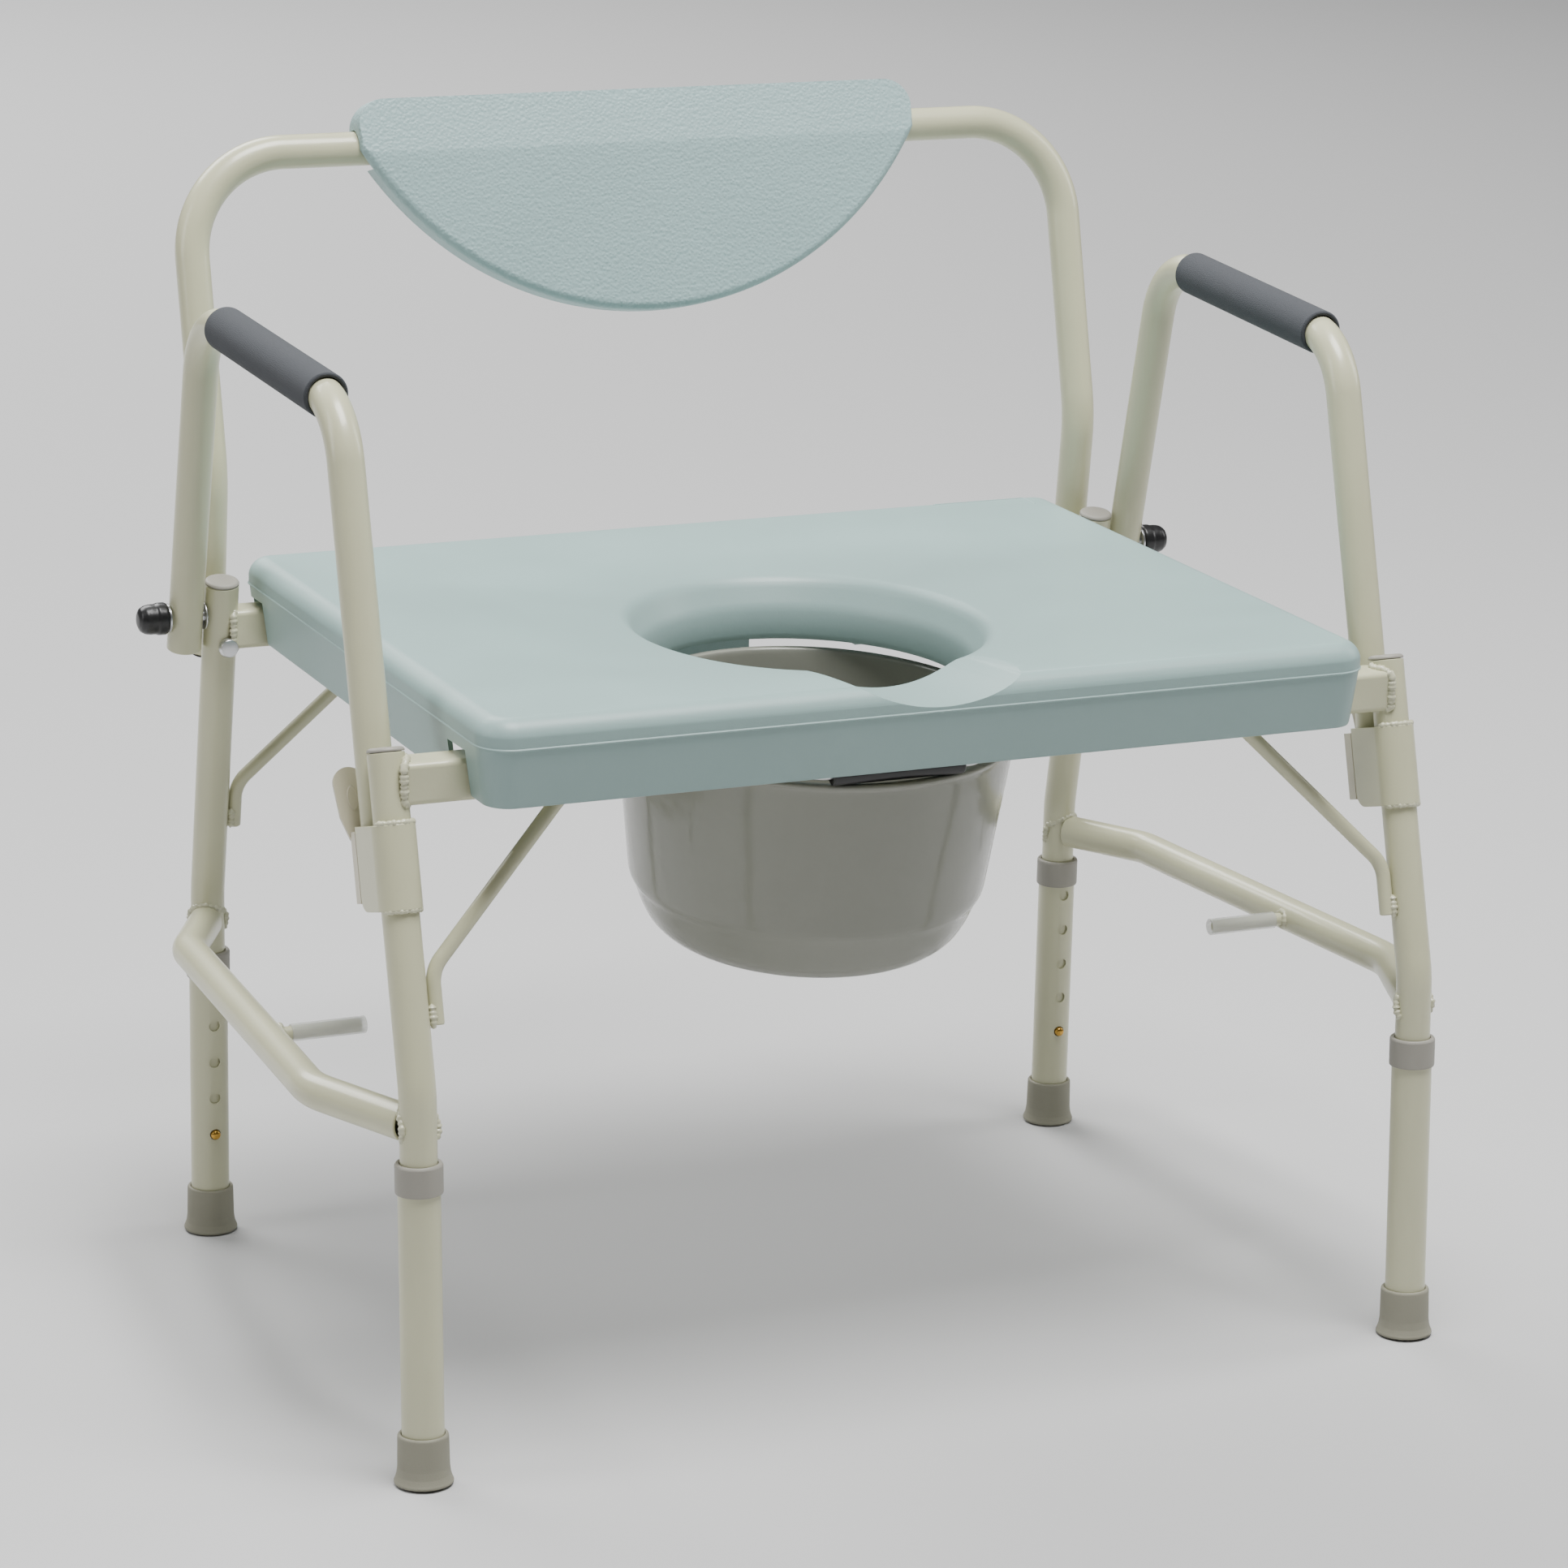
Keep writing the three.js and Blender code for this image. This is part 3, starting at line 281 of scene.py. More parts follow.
def bead(path, r=2.2, closed=False, seed=0.0):
    """A weld bead along a line: a round ridge with ripples and lumps."""
    pts = [np.array(p, float) for p in path]
    if closed:
        pts.append(pts[0])
    lengths = [np.linalg.norm(b - a) for a, b in zip(pts, pts[1:])]
    total = sum(lengths)
    count = max(8, int(total / 0.7))
    along = np.linspace(0, total, count + 1)
    marks = np.concatenate([[0], np.cumsum(lengths)])
    line = np.column_stack([np.interp(along, marks, [p[k] for p in pts]) for k in range(3)])
    stations = []
    for i in range(count + 1):
        a, b = line[max(i - 1, 0)], line[min(i + 1, count)]
        stations.append((line[i], unit(b - a)))
    rings = []
    for i, station in enumerate(framed(stations)):
        s = along[i]
        size = r * (1 + 0.16 * math.sin(2.1 * s + seed) + 0.12 * math.sin(0.83 * s + 2.7 * seed))
        if not closed:
            size *= math.sqrt(max(0.03, min(1.0, s / 2.5, (total - s) / 2.5)))
        rings.append(ring(station, size, 0, 14))
    return skin(rings)


def saddle(post_point, post_way, radius, point, way, r, n=48):
    """Where a round branch meets a round post."""
    way, post_way = unit(way), unit(post_way)
    u = unit(np.cross(way, post_way))
    w = np.cross(way, u)
    out = []
    for k in range(n):
        a = 2 * math.pi * k / n
        start = point + r * (math.cos(a) * u + math.sin(a) * w) - post_point
        p = start - post_way * (start @ post_way)
        q = way - post_way * (way @ post_way)
        half = p @ q
        under = max(0.0, half * half - (q @ q) * (p @ p - radius * radius))
        s = (-half - math.sqrt(under)) / (q @ q)
        out.append(start + post_point + way * s)
    return out


# ------------------------------------------------------------------ materials
def linear(rgb):
    out = []
    for c in rgb:
        c /= 255.0
        out.append(c / 12.92 if c <= 0.04045 else ((c + 0.055) / 1.055) ** 2.4)
    return (*out, 1.0)


def look(name, rgb, rough, metal=0.0, coat=0.0, mottle=0.04, grain=(), spots=0.0, **sockets):
    """Mottled colour, uneven gloss, and grain given as (kind, per metre, depth)."""
    material = bpy.data.materials.new(name)
    material.use_nodes = True
    tree = material.node_tree
    nodes, links = tree.nodes, tree.links
    shader = nodes["Principled BSDF"]
    where = nodes.new("ShaderNodeTexCoord")
    cloud = nodes.new("ShaderNodeTexNoise")
    cloud.inputs["Scale"].default_value = 14.0
    cloud.inputs["Detail"].default_value = 5.0
    links.new(where.outputs["Object"], cloud.inputs["Vector"])
    ramp = nodes.new("ShaderNodeValToRGB")
    base = np.array(linear(rgb))
    ramp.color_ramp.elements[0].position = 0.3
    ramp.color_ramp.elements[1].position = 0.7
    ramp.color_ramp.elements[0].color = (*(base[:3] * (1 - mottle)), 1)
    ramp.color_ramp.elements[1].color = (*np.minimum(base[:3] * (1 + mottle), 1.0), 1)
    links.new(cloud.outputs["Fac"], ramp.inputs["Fac"])
    colour = ramp.outputs["Color"]
    if spots:
        fine = nodes.new("ShaderNodeTexNoise")
        fine.inputs["Scale"].default_value = 900.0
        fine.inputs["Detail"].default_value = 3.0
        links.new(where.outputs["Object"], fine.inputs["Vector"])
        mix = nodes.new("ShaderNodeMixRGB")
        mix.blend_type = "MULTIPLY"
        mix.inputs["Fac"].default_value = spots
        links.new(colour, mix.inputs["Color1"])
        links.new(fine.outputs["Fac"], mix.inputs["Color2"])
        colour = mix.outputs["Color"]
    links.new(colour, shader.inputs["Base Color"])
    gloss = nodes.new("ShaderNodeMapRange")
    gloss.inputs["To Min"].default_value = rough * 0.9
    gloss.inputs["To Max"].default_value = min(1.0, rough * 1.12)
    links.new(cloud.outputs["Fac"], gloss.inputs["Value"])
    links.new(gloss.outputs["Result"], shader.inputs["Roughness"])
    shader.inputs["Metallic"].default_value = metal
    shader.inputs["Coat Weight"].default_value = coat
    shader.inputs["Coat Roughness"].default_value = 0.12
    for socket, value in sockets.items():
        shader.inputs[socket.replace("_", " ")].default_value = value
    normal = None
    for kind, scale, depth in grain:
        texture = nodes.new("ShaderNodeTexVoronoi" if kind == "pebble" else "ShaderNodeTexNoise")
        texture.inputs["Scale"].default_value = scale
        if kind == "pebble":
            texture.feature = "SMOOTH_F1"
            height = texture.outputs["Distance"]
        else:
            texture.inputs["Detail"].default_value = 4.0
            height = texture.outputs["Fac"]
        links.new(where.outputs["Object"], texture.inputs["Vector"])
        bump = nodes.new("ShaderNodeBump")
        bump.inputs["Strength"].default_value = 1.0
        bump.inputs["Distance"].default_value = depth
        bump.invert = kind == "pebble"
        links.new(height, bump.inputs["Height"])
        if normal is not None:
            links.new(normal, bump.inputs["Normal"])
        normal = bump.outputs["Normal"]
    if normal is not None:
        links.new(normal, shader.inputs["Normal"])
    return material


ORANGE_PEEL = ("noise", 420.0, 0.00006)
paint = look("paint", (192, 191, 160), 0.33, coat=0.3, mottle=0.03, grain=(ORANGE_PEEL,))
weld_paint = look("weld_paint", (191, 190, 163), 0.3, coat=0.4, grain=(("noise", 500.0, 0.0002),))
lever_paint = look("lever_paint", (194, 188, 165), 0.36, coat=0.2, grain=(ORANGE_PEEL,))
seat_grain = (("noise", 1500.0, 0.00005), ("noise", 260.0, 0.00006))
seat_plastic = look("seat_plastic", (143, 168, 165), 0.42, mottle=0.02, grain=seat_grain)
pebbles = (("pebble", 500.0, 0.0005), ("noise", 1300.0, 0.00012))
panel_plastic = look("panel_plastic", (153, 179, 179), 0.46, mottle=0.02, grain=pebbles)
pail_waves = (("noise", 30.0, 0.0006),)
pail_plastic = look("pail_plastic", (136, 137, 127), 0.14, mottle=0.02, grain=pail_waves)
grey_plastic = look("grey_plastic", (146, 143, 134), 0.5, grain=(("noise", 900.0, 0.00005),))
rubber_grain = (("noise", 1100.0, 0.00008),)
foot_rubber = look("foot_rubber", (138, 136, 120), 0.62, mottle=0.06, grain=rubber_grain)
foam_grain = (("noise", 1500.0, 0.0005),)
foam = look("grip_foam", (66, 69, 74), 0.88, mottle=0.06, spots=0.35, grain=foam_grain)
zinc = look("zinc", (205, 206, 208), 0.28, metal=1.0, grain=(("noise", 700.0, 0.00004),))
brass = look("brass", (192, 150, 72), 0.28, metal=1.0, grain=(("noise", 900.0, 0.00003),))
black = look("black_plastic", (26, 26, 27), 0.34, grain=(("noise", 700.0, 0.00005),))
vinyl = look("clear_vinyl", (214, 215, 208), 0.12, coat=0.5, Alpha=0.42)


# ------------------------------------------------------------------ pieces
def emit(name, part, material, body, stands_for=(), slot=None, bevel=0.0, angle=38.0):
    points, faces = part
    mesh = mesh_of(((points + vec(0, SHIFT_Y, 0)) * 0.001, faces), name, 1e-6)
    mesh.shade_smooth()
    mesh.set_sharp_from_angle(angle=math.radians(angle))
    mesh.materials.append(material)
    piece = bpy.data.objects.new(name, mesh)
    bpy.context.scene.collection.objects.link(piece)
    if bevel:
        edge = piece.modifiers.new("edge", "BEVEL")
        edge.width = bevel * 0.001
        edge.segments = 3
        edge.limit_method = "ANGLE"
        edge.angle_limit = math.radians(40)
    weighted = piece.modifiers.new("weighted", "WEIGHTED_NORMAL")
    weighted.keep_sharp = True
    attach(piece, body)
    if stands_for:
        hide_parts(*stands_for)


def emit_pair(node, part, material, bodies, slot, **more):
    """The same piece on both sides. bodies has {} where the side's name goes."""
    for side, sign in SIDES:
        name = f"{node}_{side}"
        emit(f"{name}_fine", sided(part, sign), material, bodies.format(side), [name], slot, **more)


# Posts, with a bend each, and their caps.
front_path = [
    (FRONT_X, -low_y(POST_BOTTOM), POST_BOTTOM),
    (FRONT_X, -BEND_Y, BEND_Z),
    (FRONT_X, front_y(FRONT_TOP), FRONT_TOP),
]
rear_path = [
    (REAR_X, low_y(POST_BOTTOM), POST_BOTTOM),
    (REAR_X, BEND_Y, BEND_Z),
    (REAR_X, rear_y(REAR_TOP), REAR_TOP),
]
front_up = unit(vec(0, FRONT_SLOPE, 1))
rear_up = unit(vec(0, -REAR_SLOPE, 1))


def on_leg(part, x, side):
    up = vec(0, -side * math.sin(LEAN), math.cos(LEAN))
    return placed(part, (1, 0, 0), (0, up[2], -up[1]), up, (x, side * low_y(0), 0))


def cross_drill(side, heights, r):
    """Holes through the inward face of a leg at these heights."""
    return join(
        *[rod(bent([(0, -side * 7, z), (0, -side * 20, z)]), r, 24, 0.01) for z in heights]
    )


for end, side, x in ENDS:
    path = front_path if side < 0 else rear_path
    button_hole = on_leg(cross_drill(side, [LEG_HOLE_FIRST], LEG_HOLE_R), x, side)
    post = carve(tube(bent(path, [70], 2.5)), button_hole)
    emit_pair(f"{end}_post", post, paint, "frame", "painted_tube")

cap = lathe(
    [
        (0, -11), (8.9, -11), (9.2, -9), (9.2, 0.3), (11.1, 0.3), (11.1, 1.4),
        (10.4, 2.4), (9.4, 2.9), (7, 3.1), (0, 3.2),
    ],
    56,
    0.35,
)
for end, up, at in (
    ("front", front_up, front_path[2]),
    ("rear", rear_up, rear_path[2]),
):
    top = placed(cap, (1, 0, 0), (0, up[2], -up[1]), up, at)
    emit_pair(f"{end}_post_cap", top, grey_plastic, "frame", "grey_plastic")

# Telescoping legs: sleeve with holes, collar, foot and brass button.
hole_heights = [LEG_HOLE_FIRST + LEG_HOLE_PITCH * k for k in range(LEG_HOLE_COUNT)]
collar = lathe(
    [
        (13, 178.5), (14, 178.5), (14.3, 179.2), (14.3, 195.6), (13.6, 196.8),
        (11.5, 196.8), (11.5, 195.3), (13, 195.3), (13, 178.5),
    ],
    56,
    0.4,
)
foot = lathe(
    [
        (0, 0.45), (16.4, 0.45), (17.7, 1.0), (17.8, 2.2), (17.2, 3.4), (16.2, 6.4), (15.6, 11),
        (15.3, 28.4), (15.2, 30), (14.6, 31), (13, 31), (13, 7.5), (0, 7.5),
    ],
    60,
    0.5,
)
leaf = [
    (8.7, -7), (8.7, 24), (6, 28.5), (1.8, 28.5), (-1, 24), (-3.4, -4),
    (-2.7, -4), (-0.2, 23.7), (2.1, 27.8), (5.7, 27.8), (8, 23.7), (8, -7),
]
stud = lathe(
    [(0, 8.2), (3.3, 8.2), (3.3, 13.4), (2.95, 14.5), (2.1, 15.2), (1.0, 15.52), (0, 15.6)], 32, 0.4
)
for end, side, x in ENDS:
    sleeve = tube(bent([(0, 0, 7.8), (0, 0, 195)]), 12.7, 1.3, 52)
    sleeve = carve(sleeve, cross_drill(side, hole_heights, LEG_HOLE_R))
    emit_pair(
        f"{end}_leg_tube", on_leg(sleeve, x, side), paint, end + "_leg_{}", "painted_tube"
    )
    emit_pair(
        f"{end}_leg_collar", on_leg(collar, x, side), grey_plastic, end + "_leg_{}", "grey_plastic"
    )
    emit_pair(f"{end}_foot", on_leg(foot, x, side), foot_rubber, end + "_leg_{}", "foot_rubber")
    button = placed(stud, (1, 0, 0), (0, 0, side), (0, -side, 0), (0, 0, LEG_HOLE_FIRST))
    strip = placed(
        slab(leaf, -3, 3), (0, -side, 0), (0, 0, 1), (-side, 0, 0), (0, 0, LEG_HOLE_FIRST)
    )
    emit_pair(
        f"{end}_snap_button",
        on_leg(join(button, strip), x, side),
        brass,
        end + "_button_{}",
        "brass",
    )


# Seat rails in square tube.
def square(half, corner):
    h = half - corner
    return (
        arc(h, h, corner, 0, 90, 6)
        + arc(-h, h, corner, 90, 180, 6)
        + arc(-h, -h, corner, 180, 270, 6)
        + arc(h, -h, corner, 270, 360, 6)
    )


def rail(half_length, y, z, mitre=0.0):
    """Square tube along x. The ends reach further by mitre on the front face than the rear."""
    outer = np.array(square(RAIL_HALF, RAIL_CORNER))
    inner = np.array(square(RAIL_HALF - RAIL_WALL, RAIL_CORNER - RAIL_WALL))

    def loop(outline, end):
        x = end * (half_length - mitre * outline[:, 0] / RAIL_HALF)
        return np.column_stack([x, outline[:, 0] + y, outline[:, 1] + z])

    return skin([loop(outer, -1), loop(outer, 1), loop(inner, 1), loop(inner, -1)], loop=True)


FRONT_RAIL = (front_y(FRONT_RAIL_Z), FRONT_RAIL_Z)
REAR_RAIL = (rear_y(REAR_RAIL_Z), REAR_RAIL_Z)
emit("front_rail_fine", rail(324, *FRONT_RAIL, 2.6), paint, "frame", ["front_rail"], "painted_tube")
emit("rear_rail_fine", rail(308.5, *REAR_RAIL), paint, "frame", ["rear_rail"], "painted_tube")

# Side stretchers, pegs and their clear sleeves.
stretcher_ends = [(x, y, STRETCHER_Z) for x, y in STRETCHER]
first_way = unit(vec(*stretcher_ends[1]) - vec(*stretcher_ends[0]))
last_way = unit(vec(*stretcher_ends[3]) - vec(*stretcher_ends[2]))
run = list(stretcher_ends)
run[0] = tuple(vec(*run[0]) + first_way * 9.6)
run[3] = tuple(vec(*run[3]) - last_way * 9.6)
emit_pair("side_stretcher", tube(bent(run, [34, 60], 4)), paint, "frame", "painted_tube")
PEG_Y, PEG_TIP = -30, 298
(mid_x, mid_y), (wide_x, wide_y) = STRETCHER[1], STRETCHER[2]
peg_x = mid_x + (wide_x - mid_x) * (mid_y - PEG_Y) / (mid_y - wide_y)
peg = rod(bent([(PEG_TIP, PEG_Y, STRETCHER_Z), (peg_x - 9, PEG_Y, STRETCHER_Z)]), 4.2, 32, 0.6)
emit_pair("arm_peg", peg, paint, "frame", "painted_tube")
sleeve_line = bent([(295, PEG_Y, STRETCHER_Z), (343, PEG_Y, STRETCHER_Z)])
emit_pair("peg_sleeve", tube(sleeve_line, 5.5, 1.0, 36, 0.3), vinyl, "frame", "clear_vinyl")


# Bent rod braces from the posts up to the rails.
def brace(x, bend_z, low_z, end_x, end_z, line_y):
    inside = x - TUBE_R - GAP - BRACE_R
    corners = [
        (inside, line_y(low_z), low_z),
        (inside, line_y(bend_z), bend_z),
        (end_x, line_y(end_z), end_z),
    ]
    return rod(bent(corners, [22], 4), BRACE_R, 32, 0.8)


front_brace = brace(FRONT_X, 306, 275, 220, 403, front_y)
rear_brace = brace(REAR_X, 312, 283, 190, 413.5, rear_y)
emit_pair("front_brace", front_brace, paint, "frame", "painted_tube")
emit_pair("rear_brace", rear_brace, paint, "frame", "painted_tube")

# Arm sockets: bent sheet round the front posts, open to the rear.
SOCKET_FOOT = vec(FRONT_X, front_y(341), 341)
front_back = vec(0, front_up[2], -front_up[1])


def on_front_post(part):
    return placed(part, (1, 0, 0), front_back, front_up, SOCKET_FOOT)


wrap_outline = (
    [(13.5, 29), (11.5, 29)]
    + arc(0, 0, 11.5, 0, -180, 24)
    + [(-11.5, 29), (-13.5, 29)]
    + arc(0, 0, 13.5, -180, 0, 28)
)
wrap = slab(wrap_outline, 0, 50)
cheek_outline = [(-20, 0)] + arc(20, 9, 9, -90, 0, 8) + [(29, 50), (-20, 50)]
cheek = placed(slab(cheek_outline, -20, 20), (0, 1, 0), (0, 0, 1), (1, 0, 0), (0, 0, 0))
socket = carve(wrap, cheek, "INTERSECT")
emit_pair("arm_socket", on_front_post(socket), paint, "frame", "painted_tube", bevel=0.5)

# Latch levers: a channel behind the arm with a thumb tab.
channel_outline = [
    (13.5, 29.5), (13.5, 37.5), (12.9, 38.9), (11.5, 39.5), (-11.5, 39.5), (-12.9, 38.9),
    (-13.5, 37.5), (-13.5, 29.5), (-11.5, 29.5), (-11.5, 37.6), (11.5, 37.6), (11.5, 29.5),
]
channel = slab(channel_outline, 5, 47)
tab_outline = (
    [(-3, 0), (13.4, 0), (17.5, 14)] + arc(8.5, 34, 10, 0, 180, 18) + [(-1.5, 33), (-3, 20)]
)
lean = math.radians(14)
tab = slab(tab_outline, 0, 2)
oval = lathe([(0, 1.6), (4.6, 1.6), (4.6, 2.35), (3.9, 2.8), (3.1, 2.6), (0, 2.45)], 40, 0.3)
oval = (oval[0] * vec(0.75, 1.7, 1) + vec(8.2, 25, 0), oval[1])
tab_axes = (
    (1, 0, 0),
    (0, math.sin(lean), math.cos(lean)),
    (0, -math.cos(lean), math.sin(lean)),
    (0, 39.5, 42),
)
lever = carve(channel, placed(tab, *tab_axes), "UNION")
emit_pair("latch_lever", on_front_post(lever), lever_paint, "latch_{}", "painted_lever", bevel=0.5)
for side, sign in SIDES:
    stamped = sided(on_front_post(placed(oval, *tab_axes)), sign)
    emit(f"latch_stamp_{side}", stamped, lever_paint, f"latch_{side}", slot="painted_lever")

# Drop arms and their foam grips.
ARM_X = 337.9
PIVOT_Y, PIVOT_Z = 190.5, 432.6


def arm_front_y(z):
    return front_y(z) + 22.8 / front_up[2]


def arm_rear_y(z):
    return PIVOT_Y - 0.251 * (z - PIVOT_Z)


arm_path = [
    (FRONT_X, arm_front_y(343), 343),
    (FRONT_X, arm_front_y(620), 620),
    (ARM_X, arm_rear_y(636), 636),
    (ARM_X, arm_rear_y(411), 411),
]
pivot_line = [(ARM_X - 20, PIVOT_Y, PIVOT_Z), (ARM_X + 20, PIVOT_Y, PIVOT_Z)]
pivot_hole = rod(bent(pivot_line), 4.3, 32, 0.01)
arm = carve(tube(bent(arm_path, [47, 47], 4)), pivot_hole)
emit_pair("arm_tube", arm, paint, "arm_{}", "painted_tube")


def on_top_bar(y):
    a, b = vec(*arm_path[1]), vec(*arm_path[2])
    return a + (b - a) * (y - a[1]) / (b[1] - a[1])


def sleeve_over(line, inner, outer, n, lip):
    """A thick sleeve whose ends are rounded."""
    f = framed(line)
    rings = [ring(f[0], inner, 0.6, n)]
    for k in range(7):
        a = math.radians(15 * k)
        rings.append(ring(f[0], outer - lip + lip * math.sin(a), lip - lip * math.cos(a), n))
    for k in reversed(range(7)):
        a = math.radians(15 * k)
        rings.append(ring(f[-1], outer - lip + lip * math.sin(a), lip * math.cos(a) - lip, n))
    rings.append(ring(f[-1], inner, -0.6, n))
    return skin(rings, loop=True)


grip = sleeve_over(bent([on_top_bar(-82), on_top_bar(99)]), 11.3, 14.0, 56, 1.6)
emit_pair("arm_grip", grip, foam, "arm_{}", "grip_foam")


def along_x(part, y, z):
    return placed(part, (0, 1, 0), (0, 0, 1), (1, 0, 0), (0, y, z))


face, arm_in, arm_out = REAR_X + TUBE_R, ARM_X - TUBE_R, ARM_X + TUBE_R
bolt_profile = [
    (0, REAR_X - 6), (4, REAR_X - 6), (4, face + 0.3), (9, face + 0.3), (9, arm_in - 0.3),
    (4, arm_in - 0.3), (4, arm_out + 0.3), (9.5, arm_out + 0.3), (9.5, arm_out + 1.7),
    (4, arm_out + 1.7), (4, arm_out + 12), (0, arm_out + 12),
]
pivot_bolt = along_x(lathe(bolt_profile, 48, 0.25), PIVOT_Y, PIVOT_Z)
emit_pair("pivot_bolt", pivot_bolt, zinc, "frame", "zinc_steel")
nut_at = arm_out + 2
nut_profile = [
    (4.3, nut_at), (9.6, nut_at), (10.5, nut_at + 1), (10.5, nut_at + 6), (9.8, nut_at + 7.4),
    (9.8, nut_at + 11), (9.2, nut_at + 14.6), (7.4, nut_at + 17.4), (4.4, nut_at + 18.8),
    (0, nut_at + 19.2),
]
pivot_nut = along_x(lathe(nut_profile, 48, 0.9), PIVOT_Y, PIVOT_Z)
emit_pair("pivot_nut", pivot_nut, black, "frame", "black_plastic")

# Back frame, its end plugs and bolts.
BACK_X, BACK_RISE = 312.4, 204.8
back_lean = math.radians(13.15)
back_up = vec(0, math.sin(back_lean), math.cos(back_lean))
back_front = vec(0, -back_up[2], back_up[1])
back_bend = vec(0, 213.4, 519.1)


def back_at(x, s):
    return back_bend + back_up * s + vec(x, 0, 0)


back_path = [
    (BACK_X, 228, 400), back_at(BACK_X, 0), back_at(BACK_X, BACK_RISE),
    back_at(-BACK_X, BACK_RISE), back_at(-BACK_X, 0), (-BACK_X, 228, 400),
]
back_tube = tube(bent(back_path, [90, 66, 66, 90], 3.5))
emit("back_frame_fine", back_tube, paint, "frame", ["back_frame"], "painted_tube")
plug = lathe(
    [(0, -1.8), (9.6, -1.8), (11, -0.9), (11, -0.3), (9.2, -0.3), (9.2, 6), (0, 6)], 48, 0.4
)
leg_way = unit(np.array(back_path[1]) - np.array(back_path[0]))
plug = placed(plug, (1, 0, 0), (0, leg_way[2], -leg_way[1]), leg_way, back_path[0])
emit_pair("back_frame_plug", plug, black, "frame", "black_plastic")
bolt_z = 412.0
head = rear_y(bolt_z) - TUBE_R - 2.2
gap_front = rear_y(bolt_z) + TUBE_R + 2.2
back_leg_y = 228 - 0.1224 * (bolt_z - 400)
gap_rear, nut_rear = back_leg_y - TUBE_R - 1.5, back_leg_y + TUBE_R + 1.5
back_bolt = lathe(
    [
        (0, head - 5), (5.6, head - 4.2), (6.5, head - 2), (6.5, head), (3.8, head),
        (3.8, gap_front), (7, gap_front), (7, gap_rear), (3.8, gap_rear), (3.8, nut_rear),
        (7, nut_rear), (7, nut_rear + 4), (5, nut_rear + 7.5), (0, nut_rear + 9),
    ],
    40,
    0.4,
)
back_bolt = placed(back_bolt, (0, 0, 1), (1, 0, 0), (0, 1, 0), (BACK_X, 0, bolt_z))
emit_pair("back_bolt", back_bolt, zinc, "frame", "zinc_steel")

# ------------------------------------------------------------------ backrest
HALF, TOP, BOTTOM, ARC_R = 197.5, 235.5, 88.8, 228.0
FACE, EDGE, SKIN = 17.0, -2.0, 4.5


def panel_ring(inset, z):
    """The half-round outline, x across and y up, pulled in by inset."""
    centre = BOTTOM + ARC_R
    r, half, top, corner = ARC_R - inset, HALF - inset, TOP - inset, 19 - inset
    reach = math.degrees(math.asin(half / r))
    points = arc(0, centre, r, -90 - reach, -90 + reach, 96)
    points += arc(half - corner, top - corner, corner, 0, 90, 12)
    points += arc(corner - half, top - corner, corner, 90, 180, 12)
    return np.column_stack([np.array(points), np.full(len(points), z)])


def edge_rings(outer_z, radius, steps=7):
    """Rings that round an edge over from the wall to the face."""
    out = []
    for k in range(steps + 1):
        a = math.radians(90 * k / steps)
        out.append(panel_ring(radius * (1 - math.cos(a)), outer_z - radius + radius * math.sin(a)))
    return out


def along_bar(part):
    return placed(part, (0, 0, 1), (0, 1, 0), (-1, 0, 0), (0, 0, 0))


shell = skin([panel_ring(1.2, EDGE), panel_ring(0, EDGE + 1.6)] + edge_rings(FACE, 5.5))
hollow = skin(
    [panel_ring(SKIN, EDGE - 5), panel_ring(SKIN, FACE - 7), panel_ring(SKIN + 3, FACE - SKIN)]
)
roll_outline = (
    [(FACE - SKIN, 176), (FACE, 210)]
    + arc(0, 220, 17, 0, 180, 30)
    + [(-17, 199)]
    + arc(-14.9, 199, 2.1, 180, 360, 8)
    + [(-12.8, 206), (0, 206), (0, 176)]
)
roll = along_bar(slab(roll_outline, -HALF, HALF))
pillow = []  # rounds the ends of the roll
PILLOW_REACH, PILLOW_STEPS = 17.2, 24
for k in range(PILLOW_STEPS + 1):
    z = -PILLOW_REACH + 2 * PILLOW_REACH * k / PILLOW_STEPS
    pillow.append(panel_ring(0.02 + 7 * (1 - math.sqrt(1 - (z / 17.3) ** 2)), z))
prism = skin(pillow)
top_band = along_bar(slab([(FACE, 200), (40, 200), (40, 250), (FACE - 8, 250)], -250, 250))
slot_outline = [(-11.9, 100), (11.9, 100)] + arc(0, BACK_RISE, 11.9, 0, 180, 24)
bar_slot = along_bar(slab(slot_outline, -250, 250))
roll = carve(carve(roll, prism, "INTERSECT"), bar_slot)
bore_outline = arc(0, BACK_RISE, 12.1, 0, 360 - 7.5, 47)
side_bore = along_bar(slab(bore_outline, -250, 250))
panel = carve(carve(carve(shell, hollow), side_bore), roll, "UNION")
panel = carve(panel, top_band)
panel = largest(carve(panel, carve(bar_slot, box(-250, 250, 190, 260, -12, 12), "INTERSECT")))
panel = placed(panel, (-1, 0, 0), back_up, back_front, back_bend)
emit("backrest_fine", panel, panel_plastic, "frame", ["backrest_panel"], "seat_plastic", angle=34)

# ------------------------------------------------------------------ seat
SEAT_HALF, SEAT_FRONT, SEAT_REAR = 290.5, -238.5, 216.5
SEAT_TOP, PARTING, SKIRT, DRAFT, EDGE_R = 455.7, 438.7, 402.4, 5.5, 13.0
HOLE_Y, HOLE_X, HOLE_LONG = -34.0, 100.0, 1.135
CREASE, LIP, MOUTH = 424.0, 406.0, 111.5
seat_tilt = math.radians(1.3)


